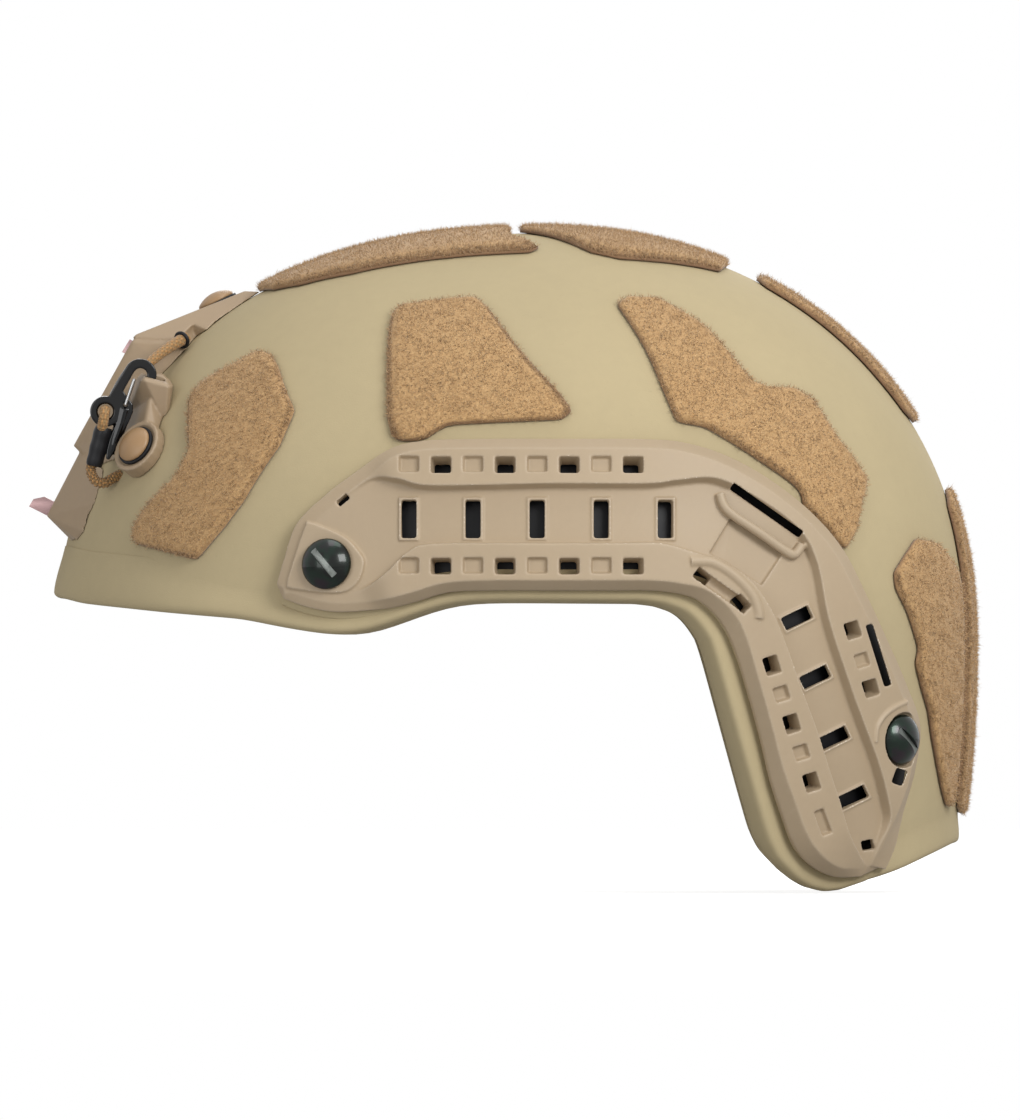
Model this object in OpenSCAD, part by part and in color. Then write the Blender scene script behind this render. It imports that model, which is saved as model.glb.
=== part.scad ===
// High-cut combat helmet with side rails, front shroud, pile panels and inner pads
// Front is -X, the wearer's left is -Y, up is +Z, and the brow edge is at z = 0

/* [Shell] */
// Reach of the shell forwards from its widest section
front_reach = 145.5; // [140:0.5:151]
// Reach of the shell backwards from its widest section
rear_reach = 129; // [124:0.5:134]
// Half of the shell's width
half_width = 108; // [103:0.5:113]
// Height of the crown above the widest level
crown_rise = 122.4; // [118:0.2:127]
// Thickness of the shell wall
wall = 8; // [7:0.2:9]

/* [Edge band] */
// Thickness of the edge band
band_t = 1.2; // [0.8:0.1:1.4]

/* [Side rails] */
// Height of the rail's groove floor above the shell
rail_floor = 5; // [4.6:0.1:5.6]
// Height of the rail's flanges above the shell
rail_top = 8.2; // [7.4:0.1:9.4]
// Width of the rail's bevelled border
rail_bevel = 3; // [2.4:0.1:3.4]
// Width of a slot in the groove
slot_w = 4.5; // [4.2:0.1:5]
// Length of a slot in the groove
slot_l = 11.4; // [10:0.2:12.4]
// Distance from slot to slot
slot_pitch = 19.2; // [18.6:0.1:19.6]
// Width of a pocket in the flanges
pocket_w = 5.2; // [4.6:0.1:5.8]
// Thickness of the ledge strip under the rail
seat_t = 1.3; // [1:0.1:1.3]

/* [Fasteners] */
// Diameter of a rail bolt's head
rail_head_d = 15.3; // [13.5:0.1:16]
// Height of a rail bolt's head
rail_head_h = 4.6; // [3.6:0.1:5.5]
// Diameter of a shroud bolt's head
shroud_head_d = 11.4; // [10:0.1:12.4]
// Height of a shroud bolt's head
shroud_head_h = 3.6; // [3:0.1:4.4]
// Diameter of a bolt's shank
shank_d = 5; // [4:0.1:5.4]
// Outer diameter of a post nut's barrel
barrel_d = 7.6; // [7.2:0.1:8.4]
// Diameter of a post nut's flange
flange_d = 13; // [11:0.5:14]

/* [Shroud] */
// Width of the shroud's metal insert
insert_w = 23; // [20:0.5:25]
// Thickness of the insert's plate
insert_t = 4; // [3.4:0.1:4.6]
// Width of the insert's dovetail slot at its mouth
dovetail_w = 11; // [9:0.5:13]
// Depth of the insert's dovetail slot
dovetail_deep = 2.4; // [1.8:0.1:2.6]

/* [Snap hook] */
// Thickness of the hook
hook_t = 3.4; // [3:0.1:4]
// Width of the hook's bent bar
hook_bar = 2.8; // [2.4:0.1:2.9]
// Diameter of the gate's wire
gate_d = 1; // [0.8:0.1:1.1]
// Diameter of the elastic cord
cord_d = 3.2; // [2.8:0.1:3.4]
// Outer diameter of the cord's sleeve
sleeve_d = 4.8; // [4.6:0.1:5.2]

/* [Pile panels and pads] */
// Thickness of a pile panel
pile_t = 2.4; // [1.6:0.1:3]
// Thickness of a comfort pad
pad_t = 19; // [14:0.5:22]

/* [Hidden] */

// Colours
shell_colour = "#AFA07E";
rail_colour = "#C2AF95";
shroud_colour = "#9F8B6F";
pile_colour = "#C49A68";
cord_colour = "#9A7544";
rose_metal = "#C7A5A5";
bolt_colour = "#B28E60";
black = "#1C1C1E";
dark_metal = "#2E302C";
foam_colour = "#6E6448";

// Form of the skin: powers of the superellipsoid and its draw-in below the widest level
wide_level = -12;
tuck = 206;
power_front = 2.27;
power_rear = 2.1;
power_y = 2.1;
power_z = 2.16;

// Clearances
gap = 0.3;
bore_play = 0.15;
brow_gap = 0.4;
pile_gap = 0.4;

// Sizes of the shell that the outlines below are drawn on; an outline follows the shell from there
drawn_front = 145.5;
drawn_rear = 129;
drawn_width = 108;
drawn_rise = 122.4;

function fit_x(x) = x * (x < 0 ? front_reach / drawn_front : rear_reach / drawn_rear);
function fit_y(y) = y * half_width / drawn_width;
function fit_z(z) = z < wide_level ? z : wide_level + (z - wide_level) * crown_rise / drawn_rise;
function fit(p) = [fit_x(p.x), fit_y(p.y), fit_z(p.z)];

// Small helpers
function unit(v) = v / max(norm(v), 1e-9);
function mix(a, b, t) = a + (b - a) * t;
function toward(a, b, d) = mix(a, b, min(1, d / max(norm(b - a), 0.01)));
function turned(p, angle) = [p.x * cos(angle) - p.y * sin(angle), p.x * sin(angle) + p.y * cos(angle)];
function curve(rows, t) =
  let (last = len(rows) - 1, i = min(floor(t), last - 1), f = t - i,
       a = rows[max(i - 1, 0)], b = rows[i], c = rows[i + 1], d = rows[min(i + 2, last)])
  0.5 * (2 * b + (c - a) * f + (2 * a - 5 * b + 4 * c - d) * f * f + (3 * b - a - 3 * c + d) * f * f * f);

// The skin, from a point or from two of its coordinates
function reach(x, off = 0) = (x < 0 ? front_reach : rear_reach) + off;
function power_x(x) = x < 0 ? power_front : power_rear;
function rise(z, off = 0) = (z < wide_level ? tuck : crown_rise) + off;
function share_x(x, off = 0) = pow(abs(x) / reach(x, off), power_x(x));
function share_y(y, off = 0) = pow(abs(y) / (half_width + off), power_y);
function share_z(z, off = 0) = pow(abs(z - wide_level) / rise(z, off), power_z);
function skin_y(x, z, off = 0) =
  (half_width + off) * pow(max(1 - share_x(x, off) - share_z(z, off), 0.0001), 1 / power_y);
function skin_z(x, y) =
  wide_level + crown_rise * pow(max(1 - share_x(x) - share_y(y), 0.0001), 1 / power_z);
function skin_x(y, z, side) =
  side * reach(side) * pow(max(1 - share_y(y) - share_z(z), 0.0001), 1 / power_x(side));
function steep(v, size, power) = sign(v) * power / size * pow(max(abs(v), 0.01) / size, power - 1);
function normal(p) = unit([steep(p.x, reach(p.x), power_x(p.x)), steep(p.y, half_width, power_y),
  steep(p.z - wide_level, rise(p.z), power_z)]);

// Scales a point about the shell's middle until it lies on the skin
function settle(d, steps = 5) =
  steps == 0 ? d
  : settle(d * pow(share_x(d.x) + share_y(d.y) + share_z(d.z + wide_level), -1 / 2.15), steps - 1);
function on_skin(p, off = 0) =
  let (foot = settle(p - [0, 0, wide_level]) + [0, 0, wide_level]) foot + off * normal(foot);

// A point of the left side, drawn in side view where it stands `ref` above the shell, moved to `off`
function side(p, off, ref = 0) =
  let (x = fit_x(p.x), z = fit_z(p.y), foot = [x, -skin_y(x, z, ref), z]) foot + (off - ref) * normal(foot);
function crown(p) = let (x = fit_x(p.x), y = fit_y(p.y)) [x, y, skin_z(x, y)];
function rear(p) = let (y = fit_y(p.x), z = fit_z(p.y)) [skin_x(y, z, 1), y, z];
function front(p) = let (y = fit_y(p.x), z = fit_z(p.y)) [skin_x(y, z, -1), y, z];

// Lower edge of the helmet in side view, from the brow over the ear cut to the nape
edge_line = [[-150, 0.5], [-144, 0.5], [-138, -1], [-114, -3.5], [-90, -5.5], [-78, -8], [-66, -10],
  [-60, -10.5], [-54, -10], [-49.5, -9], [-45, -7], [-39, -5], [-33, -2.5], [-24, -0.3], [-12, 0], [30, -0.3],
  [36, -1], [42, -3], [45, -5], [48, -8.5], [51, -13.5], [54, -24], [57.3, -36], [64, -60], [67.5, -72],
  [70.5, -78], [76.5, -84], [81, -86.5], [85.5, -87.5], [90, -87], [96, -85], [108, -81], [124, -73.5],
  [135, -72]];
function drawn_x(x) = x * (x < 0 ? drawn_front / front_reach : drawn_rear / rear_reach);
inset = band_t + gap;
function cut_z(x) = max([for (d = [-1:0.5:1])
  lookup(drawn_x(x) + d * inset, edge_line) + inset * sqrt(1 - d * d)]);

// A point of the skin from its bearing and elevation
function skin_point(bearing, lift, off = 0) =
  let (s = pow(cos(lift), 2), fore = cos(bearing) < 0 ? -1 : 1)
  [fore * reach(fore, off) * pow(s * pow(cos(bearing), 2), 1 / power_x(fore)),
   sign(sin(bearing)) * (half_width + off) * pow(s * pow(sin(bearing), 2), 1 / power_y),
   wide_level + sign(lift) * rise(wide_level + sign(lift), off) * pow(pow(sin(lift), 2), 1 / power_z)];
function edge_lift(bearing, low = -60, high = 60, steps = 20) =
  steps == 0 ? (low + high) / 2
  : let (m = (low + high) / 2, p = skin_point(bearing, m))
    p.z > cut_z(p.x) ? edge_lift(bearing, low, m, steps - 1) : edge_lift(bearing, m, high, steps - 1);

// Columns of the shell, closer together where the ear cut is steep
half_turn = [for (b = [6:6:42]) b, for (b = [45:2.5:75]) b, for (b = [78:4:90]) b, for (b = [96:6:174]) b];
bearings = concat([0], half_turn, [180], [for (i = [len(half_turn) - 1:-1:0]) -half_turn[i]]);
columns = len(bearings);
rows = 11;
lifts = [for (b = bearings) edge_lift(b)];
function column(i, off) =
  [for (k = [1:rows]) skin_point(bearings[i], 90 + (lifts[i] - 90) * k / rows, off)];

// Closed mesh from rings of equal length: `wrap` joins the last ring to the first
function ring_faces(rings, sides, wrap = false) =
  [for (r = [0:rings - (wrap ? 1 : 2)], s = [0:sides - 1])
     let (a = r * sides, b = ((r + 1) % rings) * sides, t = (s + 1) % sides)
     each [[a + s, b + s, b + t], [a + s, b + t, a + t]]];
// End face of a loft, cut into strips from side to side so that a curved band closes too
function cap(first, sides, flip) = [for (j = [0:ceil(sides / 2) - 2])
  let (a = first + j, b = a + 1, c = first + sides - 2 - j, d = c + 1)
  each concat(b == c ? [] : [flip ? [a, b, c] : [a, c, b]], [flip ? [a, c, d] : [a, d, c]])];
module loft(rings, wrap = false) {
  sides = len(rings[0]);
  last = (len(rings) - 1) * sides;
  ends = wrap ? [] : concat(cap(0, sides, true), cap(last, sides, false));
  polyhedron(points = [for (r = rings) each r], faces = concat(ring_faces(len(rings), sides, wrap), ends));
}

// Plate that lies on the skin between two edges, given as lists of points on it
module plate(edge_a, edge_b, low, high, strips = 3) {
  n = len(edge_a);
  function foot(i, j) = mix(edge_a[i], edge_b[i], j / strips);
  loft([for (i = [0:n - 1]) concat([for (j = [0:strips]) on_skin(foot(i, j), low)],
    [for (j = [strips:-1:0]) on_skin(foot(i, j), high)])]);
}

// Tube along a list of points
module tube(path, d, sides = 8) {
  last = len(path) - 1;
  function round_about(p, u, v) = [for (s = [0:sides - 1])
    p + d / 2 * (u * cos(s * 360 / sides) + v * sin(s * 360 / sides))];
  loft([for (i = [0:last])
    let (t = unit(path[min(i + 1, last)] - path[max(i - 1, 0)]), u = unit(cross([0, 1, 0.05], t)))
    round_about(path[i], u, cross(t, u))]);
}
function smooth(points, per) = [for (k = [0:(len(points) - 1) * per]) curve(points, k / per)];

// Puts a child's base at p with its +Z along n
module stand(p, n) translate(p) rotate([0, acos(n.z), atan2(n.y, n.x)]) children();
module both() {
  children();
  mirror([0, 1, 0]) children();
}

// Shell and edge band
crown_top = [0, 0, wide_level + crown_rise];
function skin_rows(off) = [for (i = [0:columns - 1]) each column(i, off)];
function shell_points() = concat([crown_top], skin_rows(0), [crown_top - [0, 0, wall]], skin_rows(-wall));
inner_start = 1 + columns * rows;
function shell_faces() = [for (i = [0:columns - 1])
  let (a = 1 + i * rows, b = 1 + ((i + 1) % columns) * rows, c = a + inner_start, d = b + inner_start)
  each concat([[0, b, a], [inner_start, c, d]],
    [for (k = [0:rows - 2]) each [[a + k, b + k, b + k + 1], [a + k, b + k + 1, a + k + 1],
      [c + k, d + k + 1, d + k], [c + k, c + k + 1, d + k + 1]]],
    [[a + rows - 1, b + rows - 1, d + rows - 1], [a + rows - 1, d + rows - 1, c + rows - 1]])];

// Height of the edge band's legs along the helmet
leg_line = [[-150, 4.5], [-88, 4.5], [-80, 1.8], [-50, 1.6], [-44, 0.7], [40, 0.7], [49, 3], [78, 3],
  [86, 0.7], [104, 0.7], [112, 4.5]];
// The inner leg leans away from the wall, which is narrower inside
leg_lean = 0.12;
function edge(i, off = 0) = skin_point(bearings[i % columns], lifts[i % columns], off);
function band_ring(i) =
  let (p = edge(i), q = edge(i, -wall), n = normal(p), t = unit(edge(i + 1) - edge(i + columns - 1)),
       up = cross(n, t), leg = lookup(drawn_x(p.x), leg_line), lean = leg_lean * leg)
  [p + n * inset + up * leg, p + n * inset - up * inset, q - n * inset - up * inset,
   q - n * (inset + lean) + up * leg, q - n * (gap + lean) + up * leg, q - n * gap - up * gap,
   p + n * gap - up * gap, p + n * gap + up * leg];

// Bolts: foot on the skin and the way each one points
rail_front_spot = [-62, 10];
rail_rear_spot = [103.3, -41.5];
function rail_feet() = [side(rail_front_spot, 0), side(rail_rear_spot, 0)];
shroud_side_way = unit([-0.62, -0.62, 0.47]);
shroud_top_way = unit([-0.45, 0, 0.89]);
function shroud_side_foot() = front([-48.8, 44.1]);
function side_tilt() = acos(shroud_side_way * normal(shroud_side_foot()));
function top_tilt() = acos(shroud_top_way * normal(shroud_top_foot()));
function shroud_top_foot() = crown([-95.4, 0]);
hole_d = barrel_d + 2 * bore_play;

module shell() color(shell_colour) difference() {
  polyhedron(points = shell_points(), faces = shell_faces());
  both() {
    for (p = rail_feet()) stand(p, normal(p)) nut_hole();
    stand(shroud_side_foot(), shroud_side_way) nut_hole();
  }
  stand(shroud_top_foot(), shroud_top_way) nut_hole();
}
module nut_hole() translate([0, 0, -2 * wall]) cylinder(h = 3 * wall, d = hole_d, $fn = 32);
module edge_trim() color(shell_colour) loft([for (i = [0:columns - 1]) band_ring(i)], wrap = true);

// Side rail in side view: outer edge, upper flange's lower edge, lower flange's upper edge, inner edge
rail_rows = [
  [[-79, 5], [-78, 4], [-77.5, 2.5], [-77, 0.5]],
  [[-77, 12], [-74, 11], [-71, 2.5], [-70, -2]],
  [[-73, 23], [-69.5, 21.5], [-63, 1], [-61.5, -3.5]],
  [[-64, 32], [-62, 29.5], [-54.5, 3], [-51.5, -3]],
  [[-54, 39.5], [-51.5, 37], [-47, 7.5], [-43.5, -2]],
  [[-45, 45.5], [-43, 36.5], [-39.5, 14.5], [-36, 0]],
  [[-34.5, 48], [-34.5, 34.5], [-33.2, 16.7], [-27, 2.5]],
  [[-15, 48.5], [-15, 34.6], [-15, 17], [-14, 3]],
  [[4, 48.5], [4, 35], [4, 17], [4, 3]],
  [[32.6, 48.4], [32.4, 35], [23, 17], [22.6, 3]],
  [[45, 47], [41, 36], [36, 17], [33, 3]],
  [[57, 43], [53, 36.5], [45.5, 14.5], [42, 2]],
  [[69.5, 36], [65.5, 30.5], [54.5, 11.5], [48.5, -0.5]],
  [[81.5, 26.5], [77.5, 21.5], [62.5, 6.5], [54.5, -6.5]],
  [[91, 15.5], [83, 11.5], [68.5, -1.5], [58.5, -14.5]],
  [[98, 2], [86.5, -5.5], [73, -11.5], [62.5, -27]],
  [[104.5, -12], [92.5, -24], [78, -25.5], [66.5, -41.5]],
  [[110, -24.5], [97, -36.5], [83, -39], [69.5, -54]],
  [[114.5, -37.5], [101.5, -48.5], [87, -51.5], [73, -64.5]],
  [[113, -51], [104.5, -59.5], [90, -60.5], [76.5, -73.5]],
  [[109.5, -63.5], [105.5, -66.5], [92.5, -69], [81.5, -79.5]],
  [[107, -74], [103, -74.5], [96, -75], [88.5, -83]],
  [[104, -81], [101.5, -80], [99.5, -80], [96.5, -83]]];
// How far each flange has risen at each of those rows
flange_rise = concat([[0, 0], [0, 0], [0, 0], [0, 0.1], [0.3, 0.9]], [for (k = [5:19]) [1, 1]],
  [[0.8, 1], [0.3, 0.6], [0, 0]]);
rail_last = len(rail_rows) - 1;
// The stretch over the ear is straight and needs no step between its rows
rail_steps = concat([for (t = [0:0.5:5]) t], [for (t = [6:9]) t], [for (t = [9.5:0.5:12]) t],
  [for (t = [13:19]) t], [for (t = [19.5:0.5:rail_last]) t]);
rail_base = seat_t + 2 * gap;
rail_wall = 4;
// The underside arches over the shell between the rail's edges
mid_lift = 1.55;
edge_ref = 4.5;

function rail_ring(t) =
  let (g = curve(rail_rows, t), f = curve(flange_rise, t),
       high_u = rail_floor + (rail_top - rail_floor) * max(f[0], 0),
       high_l = rail_floor + (rail_top - rail_floor) * max(f[1], 0),
       slope = min(0.9, 0.35 * norm(g[2] - g[1])), mid = (g[1] + g[2]) / 2)
  [side(g[0], rail_base, edge_ref), side(g[0], rail_wall, edge_ref),
   side(toward(g[0], g[1], rail_bevel), high_u, rail_top), side(g[1], high_u, rail_top),
   side(toward(g[1], g[2], slope), rail_floor, rail_top),
   side(toward(g[2], g[1], slope), rail_floor, rail_top),
   side(g[2], high_l, rail_top), side(toward(g[3], g[2], rail_bevel), high_l, rail_top),
   side(g[3], rail_wall, edge_ref), side(g[3], rail_base, edge_ref),
   side(mid, rail_base + mid_lift, rail_base)];

// Block through four drawn corners, wider at its top by `draft` on each side
module pocket(c, size, angle, low, high, ref, draft = 0) {
  function corner(k, grow) = c + turned([(k == 0 || k == 3 ? -1 : 1) * (size.x / 2 + grow),
    (k < 2 ? -1 : 1) * (size.y / 2 + grow)], angle);
  foot = [for (k = [0:3]) side(corner(k, 0), low, ref)];
  mouth = [for (k = [0:3]) side(corner(k, draft), high, ref)];
  hull() polyhedron(points = concat(foot, mouth),
    faces = [[0, 1, 2, 3], [7, 6, 5, 4], [0, 4, 5, 1], [1, 5, 6, 2], [2, 6, 7, 3], [3, 7, 4, 0]]);
}
through = 0.2;
above = rail_top + 2;
pocket_draft = 1.1;
module window(c, size, angle = 0, ref = rail_floor) pocket(c, size, angle, through, above, ref);
module well(c, size, angle, floor) pocket(c, size, angle, floor, above, rail_top, pocket_draft);

first_slot = -39.3;
slot_z = 24.3;
function slot_x(k) = first_slot + k * slot_pitch;
module groove_slots() {
  for (k = [0:4]) window([slot_x(k), slot_z], [slot_w, slot_l]);
  for (p = [[77, -5.4], [82.5, -23.1], [88.2, -41.4], [93.9, -59.1]]) window(p, [9, 4.2], 26);
}
flange_turn = 17;
// Pockets between the slots: every other one goes right through
module flange_pockets() {
  for (k = [0:3], z = [40.6, 10.2]) {
    well([slot_x(k) + slot_pitch / 2, z], [pocket_w - 0.8, 3.2], 0, through);
    well([slot_x(k), z + 0.2], [pocket_w, 4], 0, rail_top - 1.7);
  }
  for (p = [[69.4, -19.5], [75.4, -37], [81.4, -54.5]]) well(p, [2.8, 3.8], flange_turn, through);
  for (p = [[72.3, -28], [78.3, -45.6]]) well(p, [3.6, 3.6], flange_turn, rail_top - 1.9);
  well([84.8, -66.5], [2.4, 7], 20, rail_top - 1.6);
  for (p = [[93.8, -9], [99.3, -26.4]]) well(p, [2.8, 3.4], flange_turn, through);
  well([96.6, -18], [3.4, 3.4], flange_turn, rail_top - 1.8);
}
module lone_slots() {
  window([-59, 30], [4, 1.9], 40, rail_floor);
  window([67.5, 26.6], [25, 2.2], -35, rail_floor);
  window([101, -16.5], [1.6, 19.5], 14, rail_top);
  window([107.8, -53], [2.4, 4.4], -20, rail_top);
  window([98.4, -73.5], [3.6, 3], 10, rail_floor);
  window([50, 6.4], [5, 3], -40, rail_top);
  window([57.4, 1.4], [5.4, 3], -55, rail_top);
}
// Recessed corner panel, crossed by a raised bar
module corner_recess() pocket([64, 17.5], [15, 17], -32, rail_floor - 1, above, rail_floor, 0.8);
module corner_bar() pocket([65.3, 23.6], [22, 1.6], -35, rail_floor - 2.4, rail_floor + 2.2, rail_floor);

seat_height = 6.2;
head_room = 0.7;
module rail_boss() hull() for (q = [[rail_front_spot, 8], [[-66.5, 16], 6], [[-68.5, 7], 6]])
  stand(side(q[0], rail_floor - 2.2), normal(side(rail_front_spot, 0))) cylinder(h = 3.4, r = q[1], $fn = 24);
module rail() difference() {
  union() {
    difference() {
      loft([for (t = rail_steps) rail_ring(t)]);
      corner_recess();
    }
    corner_bar();
    rail_boss();
  }
  groove_slots();
  flange_pockets();
  lone_slots();
  for (p = rail_feet()) stand(p, normal(p)) {
    cylinder(h = 2 * above, d = shank_d + 4 * bore_play, $fn = 20);
    translate([0, 0, seat_height]) cylinder(h = above, d = rail_head_d + 2 * head_room, $fn = 28);
  }
}
module rail_left() color(rail_colour) rail();
module rail_right() color(rail_colour) mirror([0, 1, 0]) rail();

// Ledge strip under the rail's inner edge: how far it shows past the rail at each row
lip_line = [[0, 2.2], [3, 2.2], [4, 1.5], [5.5, 0.3], [11, 0.3], [13, 1.3], [19, 1.3], [20, 0], [22, -1.5]];
seat_band = 6;
module rail_seat() {
  function inward(g) = toward(g[3], g[2], min(seat_band, norm(g[2] - g[3])));
  function outward(g, lip) = g[3] - unit(g[2] - g[3]) * lip;
  inner = [for (g = rail_rows) side(inward(g), 0)];
  outer = [for (t = [0:rail_last]) side(outward(rail_rows[t], lookup(t, lip_line)), 0)];
  plate(outer, inner, gap, gap + seat_t, 1);
}
module rail_seat_left() color(shell_colour) rail_seat();
module rail_seat_right() color(shell_colour) mirror([0, 1, 0]) rail_seat();

// Domed bolt head on its shank: z = 0 is the head's seat
module bolt(head_d, head_h, slot_turn, depth) difference() {
  union() {
    rotate_extrude($fn = 48) intersection() {
      square([head_d / 2, head_h]);
      translate([0, head_h - dome_radius(head_d, head_h)]) circle(r = dome_radius(head_d, head_h), $fn = 96);
    }
    translate([0, 0, -depth]) cylinder(h = depth + 0.5, d = shank_d, $fn = 32);
  }
  if (slot_turn != undef)
    rotate([0, 0, slot_turn]) translate([-head_d, -1, head_h - 1.5]) cube([2 * head_d, 2, 2]);
}
dome_rim = 1;
function dome_radius(d, h) = (pow(d / 2, 2) + pow(h - dome_rim, 2)) / (2 * (h - dome_rim));
nut_back = 1.2;
flange_t = 1.6;
nut_top = 0.6;
// Depth of a nut's back face below the skin, with room for a flange that leans by `tilt`
function nut_reach(tilt = 0) = wall + nut_back + flange_t + flange_d / 2 * tan(tilt);
module nut(tilt = 0) difference() {
  low = nut_reach(tilt);
  high = nut_top + barrel_d / 2 * tan(tilt);
  union() {
    translate([0, 0, -low]) cylinder(h = flange_t, d = flange_d, $fn = 40);
    translate([0, 0, -low]) cylinder(h = low - high, d = barrel_d, $fn = 32);
  }
  translate([0, 0, -low - 1]) cylinder(h = low + 2, d = shank_d + 2 * bore_play, $fn = 32);
}
slot_turns = [42, 51];
module rail_bolts() for (k = [0, 1]) let (p = rail_feet()[k]) stand(p, normal(p))
  translate([0, 0, seat_height]) bolt(rail_head_d, rail_head_h, slot_turns[k], seat_height + nut_reach());
module rail_nuts() for (p = rail_feet()) stand(p, normal(p)) nut();
module rail_bolts_left() color(dark_metal) rail_bolts();
module rail_bolts_right() color(dark_metal) mirror([0, 1, 0]) rail_bolts();
module rail_nuts_left() color(black) rail_nuts();
module rail_nuts_right() color(black) mirror([0, 1, 0]) rail_nuts();

// Shroud: everything on it moves with the brow as the shell changes
brow = [-134.7, 0, 51.3];
brow_shift = fit(brow) - brow;
face_lean = 26.8;
face_up = [sin(face_lean), 0, cos(face_lean)];
face_out = [-cos(face_lean), 0, sin(face_lean)];
function face(u, n, y = 0) = brow + brow_shift + face_up * u + face_out * n + [0, y, 0];
function brow_point(p) = p + brow_shift;
// Eight-sided bead: a hull of beads has narrow chamfers along its edges
module bead(r) polyhedron(points = [[r, 0, 0], [0, r, 0], [-r, 0, 0], [0, -r, 0], [0, 0, r], [0, 0, -r]],
  faces = [[0, 4, 1], [1, 4, 2], [2, 4, 3], [3, 4, 0], [1, 5, 0], [2, 5, 1], [3, 5, 2], [0, 5, 3]]);
module blob(points, r = 0.9) hull() for (p = points) translate(p) bead(r);
function pair(points) = concat(points, [for (p = points) [p.x, -p.y, p.z]]);
// Points of the brow's skin, sunk a little so that the skin trims them
function sunk(y, z) = on_skin(front([y, z]), -2);

core_half = insert_w / 2 + 4.5;
// Ridge of the tongue that runs up to the top bolt, as half of it
tongue = [[-121.5, 15, 79], [-101.7, 10, 85.6], [-88.9, 5.5, 92.1], [-86.8, 4.5, 90.8]];
module shroud_core() {
  blob(pair([face(29, 0.6, core_half), face(4.6, 1.4, core_half), face(-6.5, 2, core_half), sunk(22, 70),
    sunk(22, 50), sunk(20, 78), face(-10, -8, core_half + 4)]));
  blob(pair([face(-8, -0.5, core_half), face(-29, -0.3, core_half - 1), sunk(36, 36), sunk(38, 31),
    sunk(35, 20), sunk(29, 17), sunk(20, 17)]));
  blob(pair(concat([for (p = tongue) brow_point(p)], [sunk(19, 79.4), sunk(12, 86), sunk(5, 93.5)])));
}
// Horn beside the core: a lug on top and a round seat for the side bolt
lug = [[-119.7, -36, 67.2], [-118.6, -47, 65.9], [-113.5, -37, 67.2], [-111.8, -47.5, 64], [-128, -14, 52],
  [-124.5, -14, 62]];
seat_up = 4.2;
module horn() {
  blob(concat([for (p = lug) horn_point(p)],
    [sunk(-31, 66), sunk(-38, 61.5), sunk(-46, 54), sunk(-16, 66), sunk(-16, 45)]));
  hull() stand(shroud_side_foot(), shroud_side_way) translate([0, 0, -4])
    cylinder(h = seat_up + 4.6, r = 8.4, $fn = 20);
  blob(concat([sunk(-46, 54), sunk(-52, 45), sunk(-45, 39), sunk(-30, 38)],
    [for (p = [[-133.5, -14, 48], [-135, -14, 42]]) brow_point(p)],
    [for (p = [[-117, -46, 60], [-119.5, -52.5, 44]]) horn_point(p)]));
}
// Part of the brow's skin as a block, which trims the back of the shroud
module brow_block() {
  across = 12;
  up = 11;
  lift_steps = [for (k = [0:up]) 2 + k * 76 / up];
  function line(b, off) = [for (l = lift_steps) skin_point(b, l, off)];
  function back(list) = [for (k = [up:-1:0]) list[k]];
  loft([for (j = [0:across]) let (b = 218 - j * 76 / across) concat(line(b, brow_gap), back(line(b, -40)))]);
}
// Where the hook's nose rests behind the lug, and where the cords enter the frame
hook_y = -43;
// The horns and what they carry go outwards as the shell gets wider
horn_shift = brow_shift + [0, fit_y(hook_y) - hook_y, 0];
function horn_point(p) = p + horn_shift;
nose_spot = [-115.4, hook_y, 67.8];
lower_hole = [-128.1, -43, 36.6];
stow_end = [-118.6, -35, 70.2];
module shroud_frame() color(shroud_colour) difference() {
  union() {
    shroud_core();
    both() horn();
  }
  brow_block();
  insert_seat();
  stand(shroud_top_foot(), shroud_top_way) bolt_way(top_seat);
  both() {
    stand(shroud_side_foot(), shroud_side_way) bolt_way(seat_up);
    translate(horn_point(nose_spot)) cube([5.6, hook_t + 1.2, 6.4], center = true);
    translate(horn_point(lower_hole)) rotate([0, 60, 30])
      cylinder(h = 14, d = cord_d + 0.8, center = true, $fn = 16);
    stand(upper_hole, stow_way)
      cylinder(h = 18, d = grommet_d + 2 * gap, center = true, $fn = 20);
    translate(horn_point(stow_end)) sphere(d = cord_d + 1.2, $fn = 16);
  }
}
// Bore for a shroud bolt's shank and nut, and the flat under its ring
module bolt_way(seat) {
  translate([0, 0, -4]) cylinder(h = 5, d = hole_d, $fn = 24);
  cylinder(h = 30, d = shank_d + 4 * bore_play, $fn = 20);
  translate([0, 0, seat]) cylinder(h = 20, d = shroud_head_d + 2.6, $fn = 24);
}

// Metal insert: plate with a lip at each end and a dovetail slot, drawn in its own side view;
// the frame holds it by its long edges, which are sunk
insert_half = 29.3;
insert_hold = 1.5;
insert_sunk = 0.6;
function insert_profile(grow = 0) = [[-insert_half - grow, -insert_t - grow],
  [insert_half + grow, -insert_t - grow], [insert_half + grow, 2.2 + grow], [24.8 - grow, 2.6 + grow],
  [24.8 - grow, grow], [-24.6 + grow, grow], [-24.6 + grow, 3.8 + grow], [-26.7, 6.4 + grow],
  [-insert_half - grow, 6.6 + grow]];
module on_face(width) multmatrix([[face_up.x, face_out.x, 0, brow.x + brow_shift.x], [0, 0, 1, -width / 2],
  [face_up.z, face_out.z, 0, brow.z + brow_shift.z], [0, 0, 0, 1]]) linear_extrude(width) children();
module insert_seat() {
  on_face(insert_w + 2 * gap) polygon(insert_profile(gap));
  on_face(insert_w - 2 * insert_hold) polygon([[-25, -1], [25, -1], [27, 12], [-27, 12]]);
}
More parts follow.
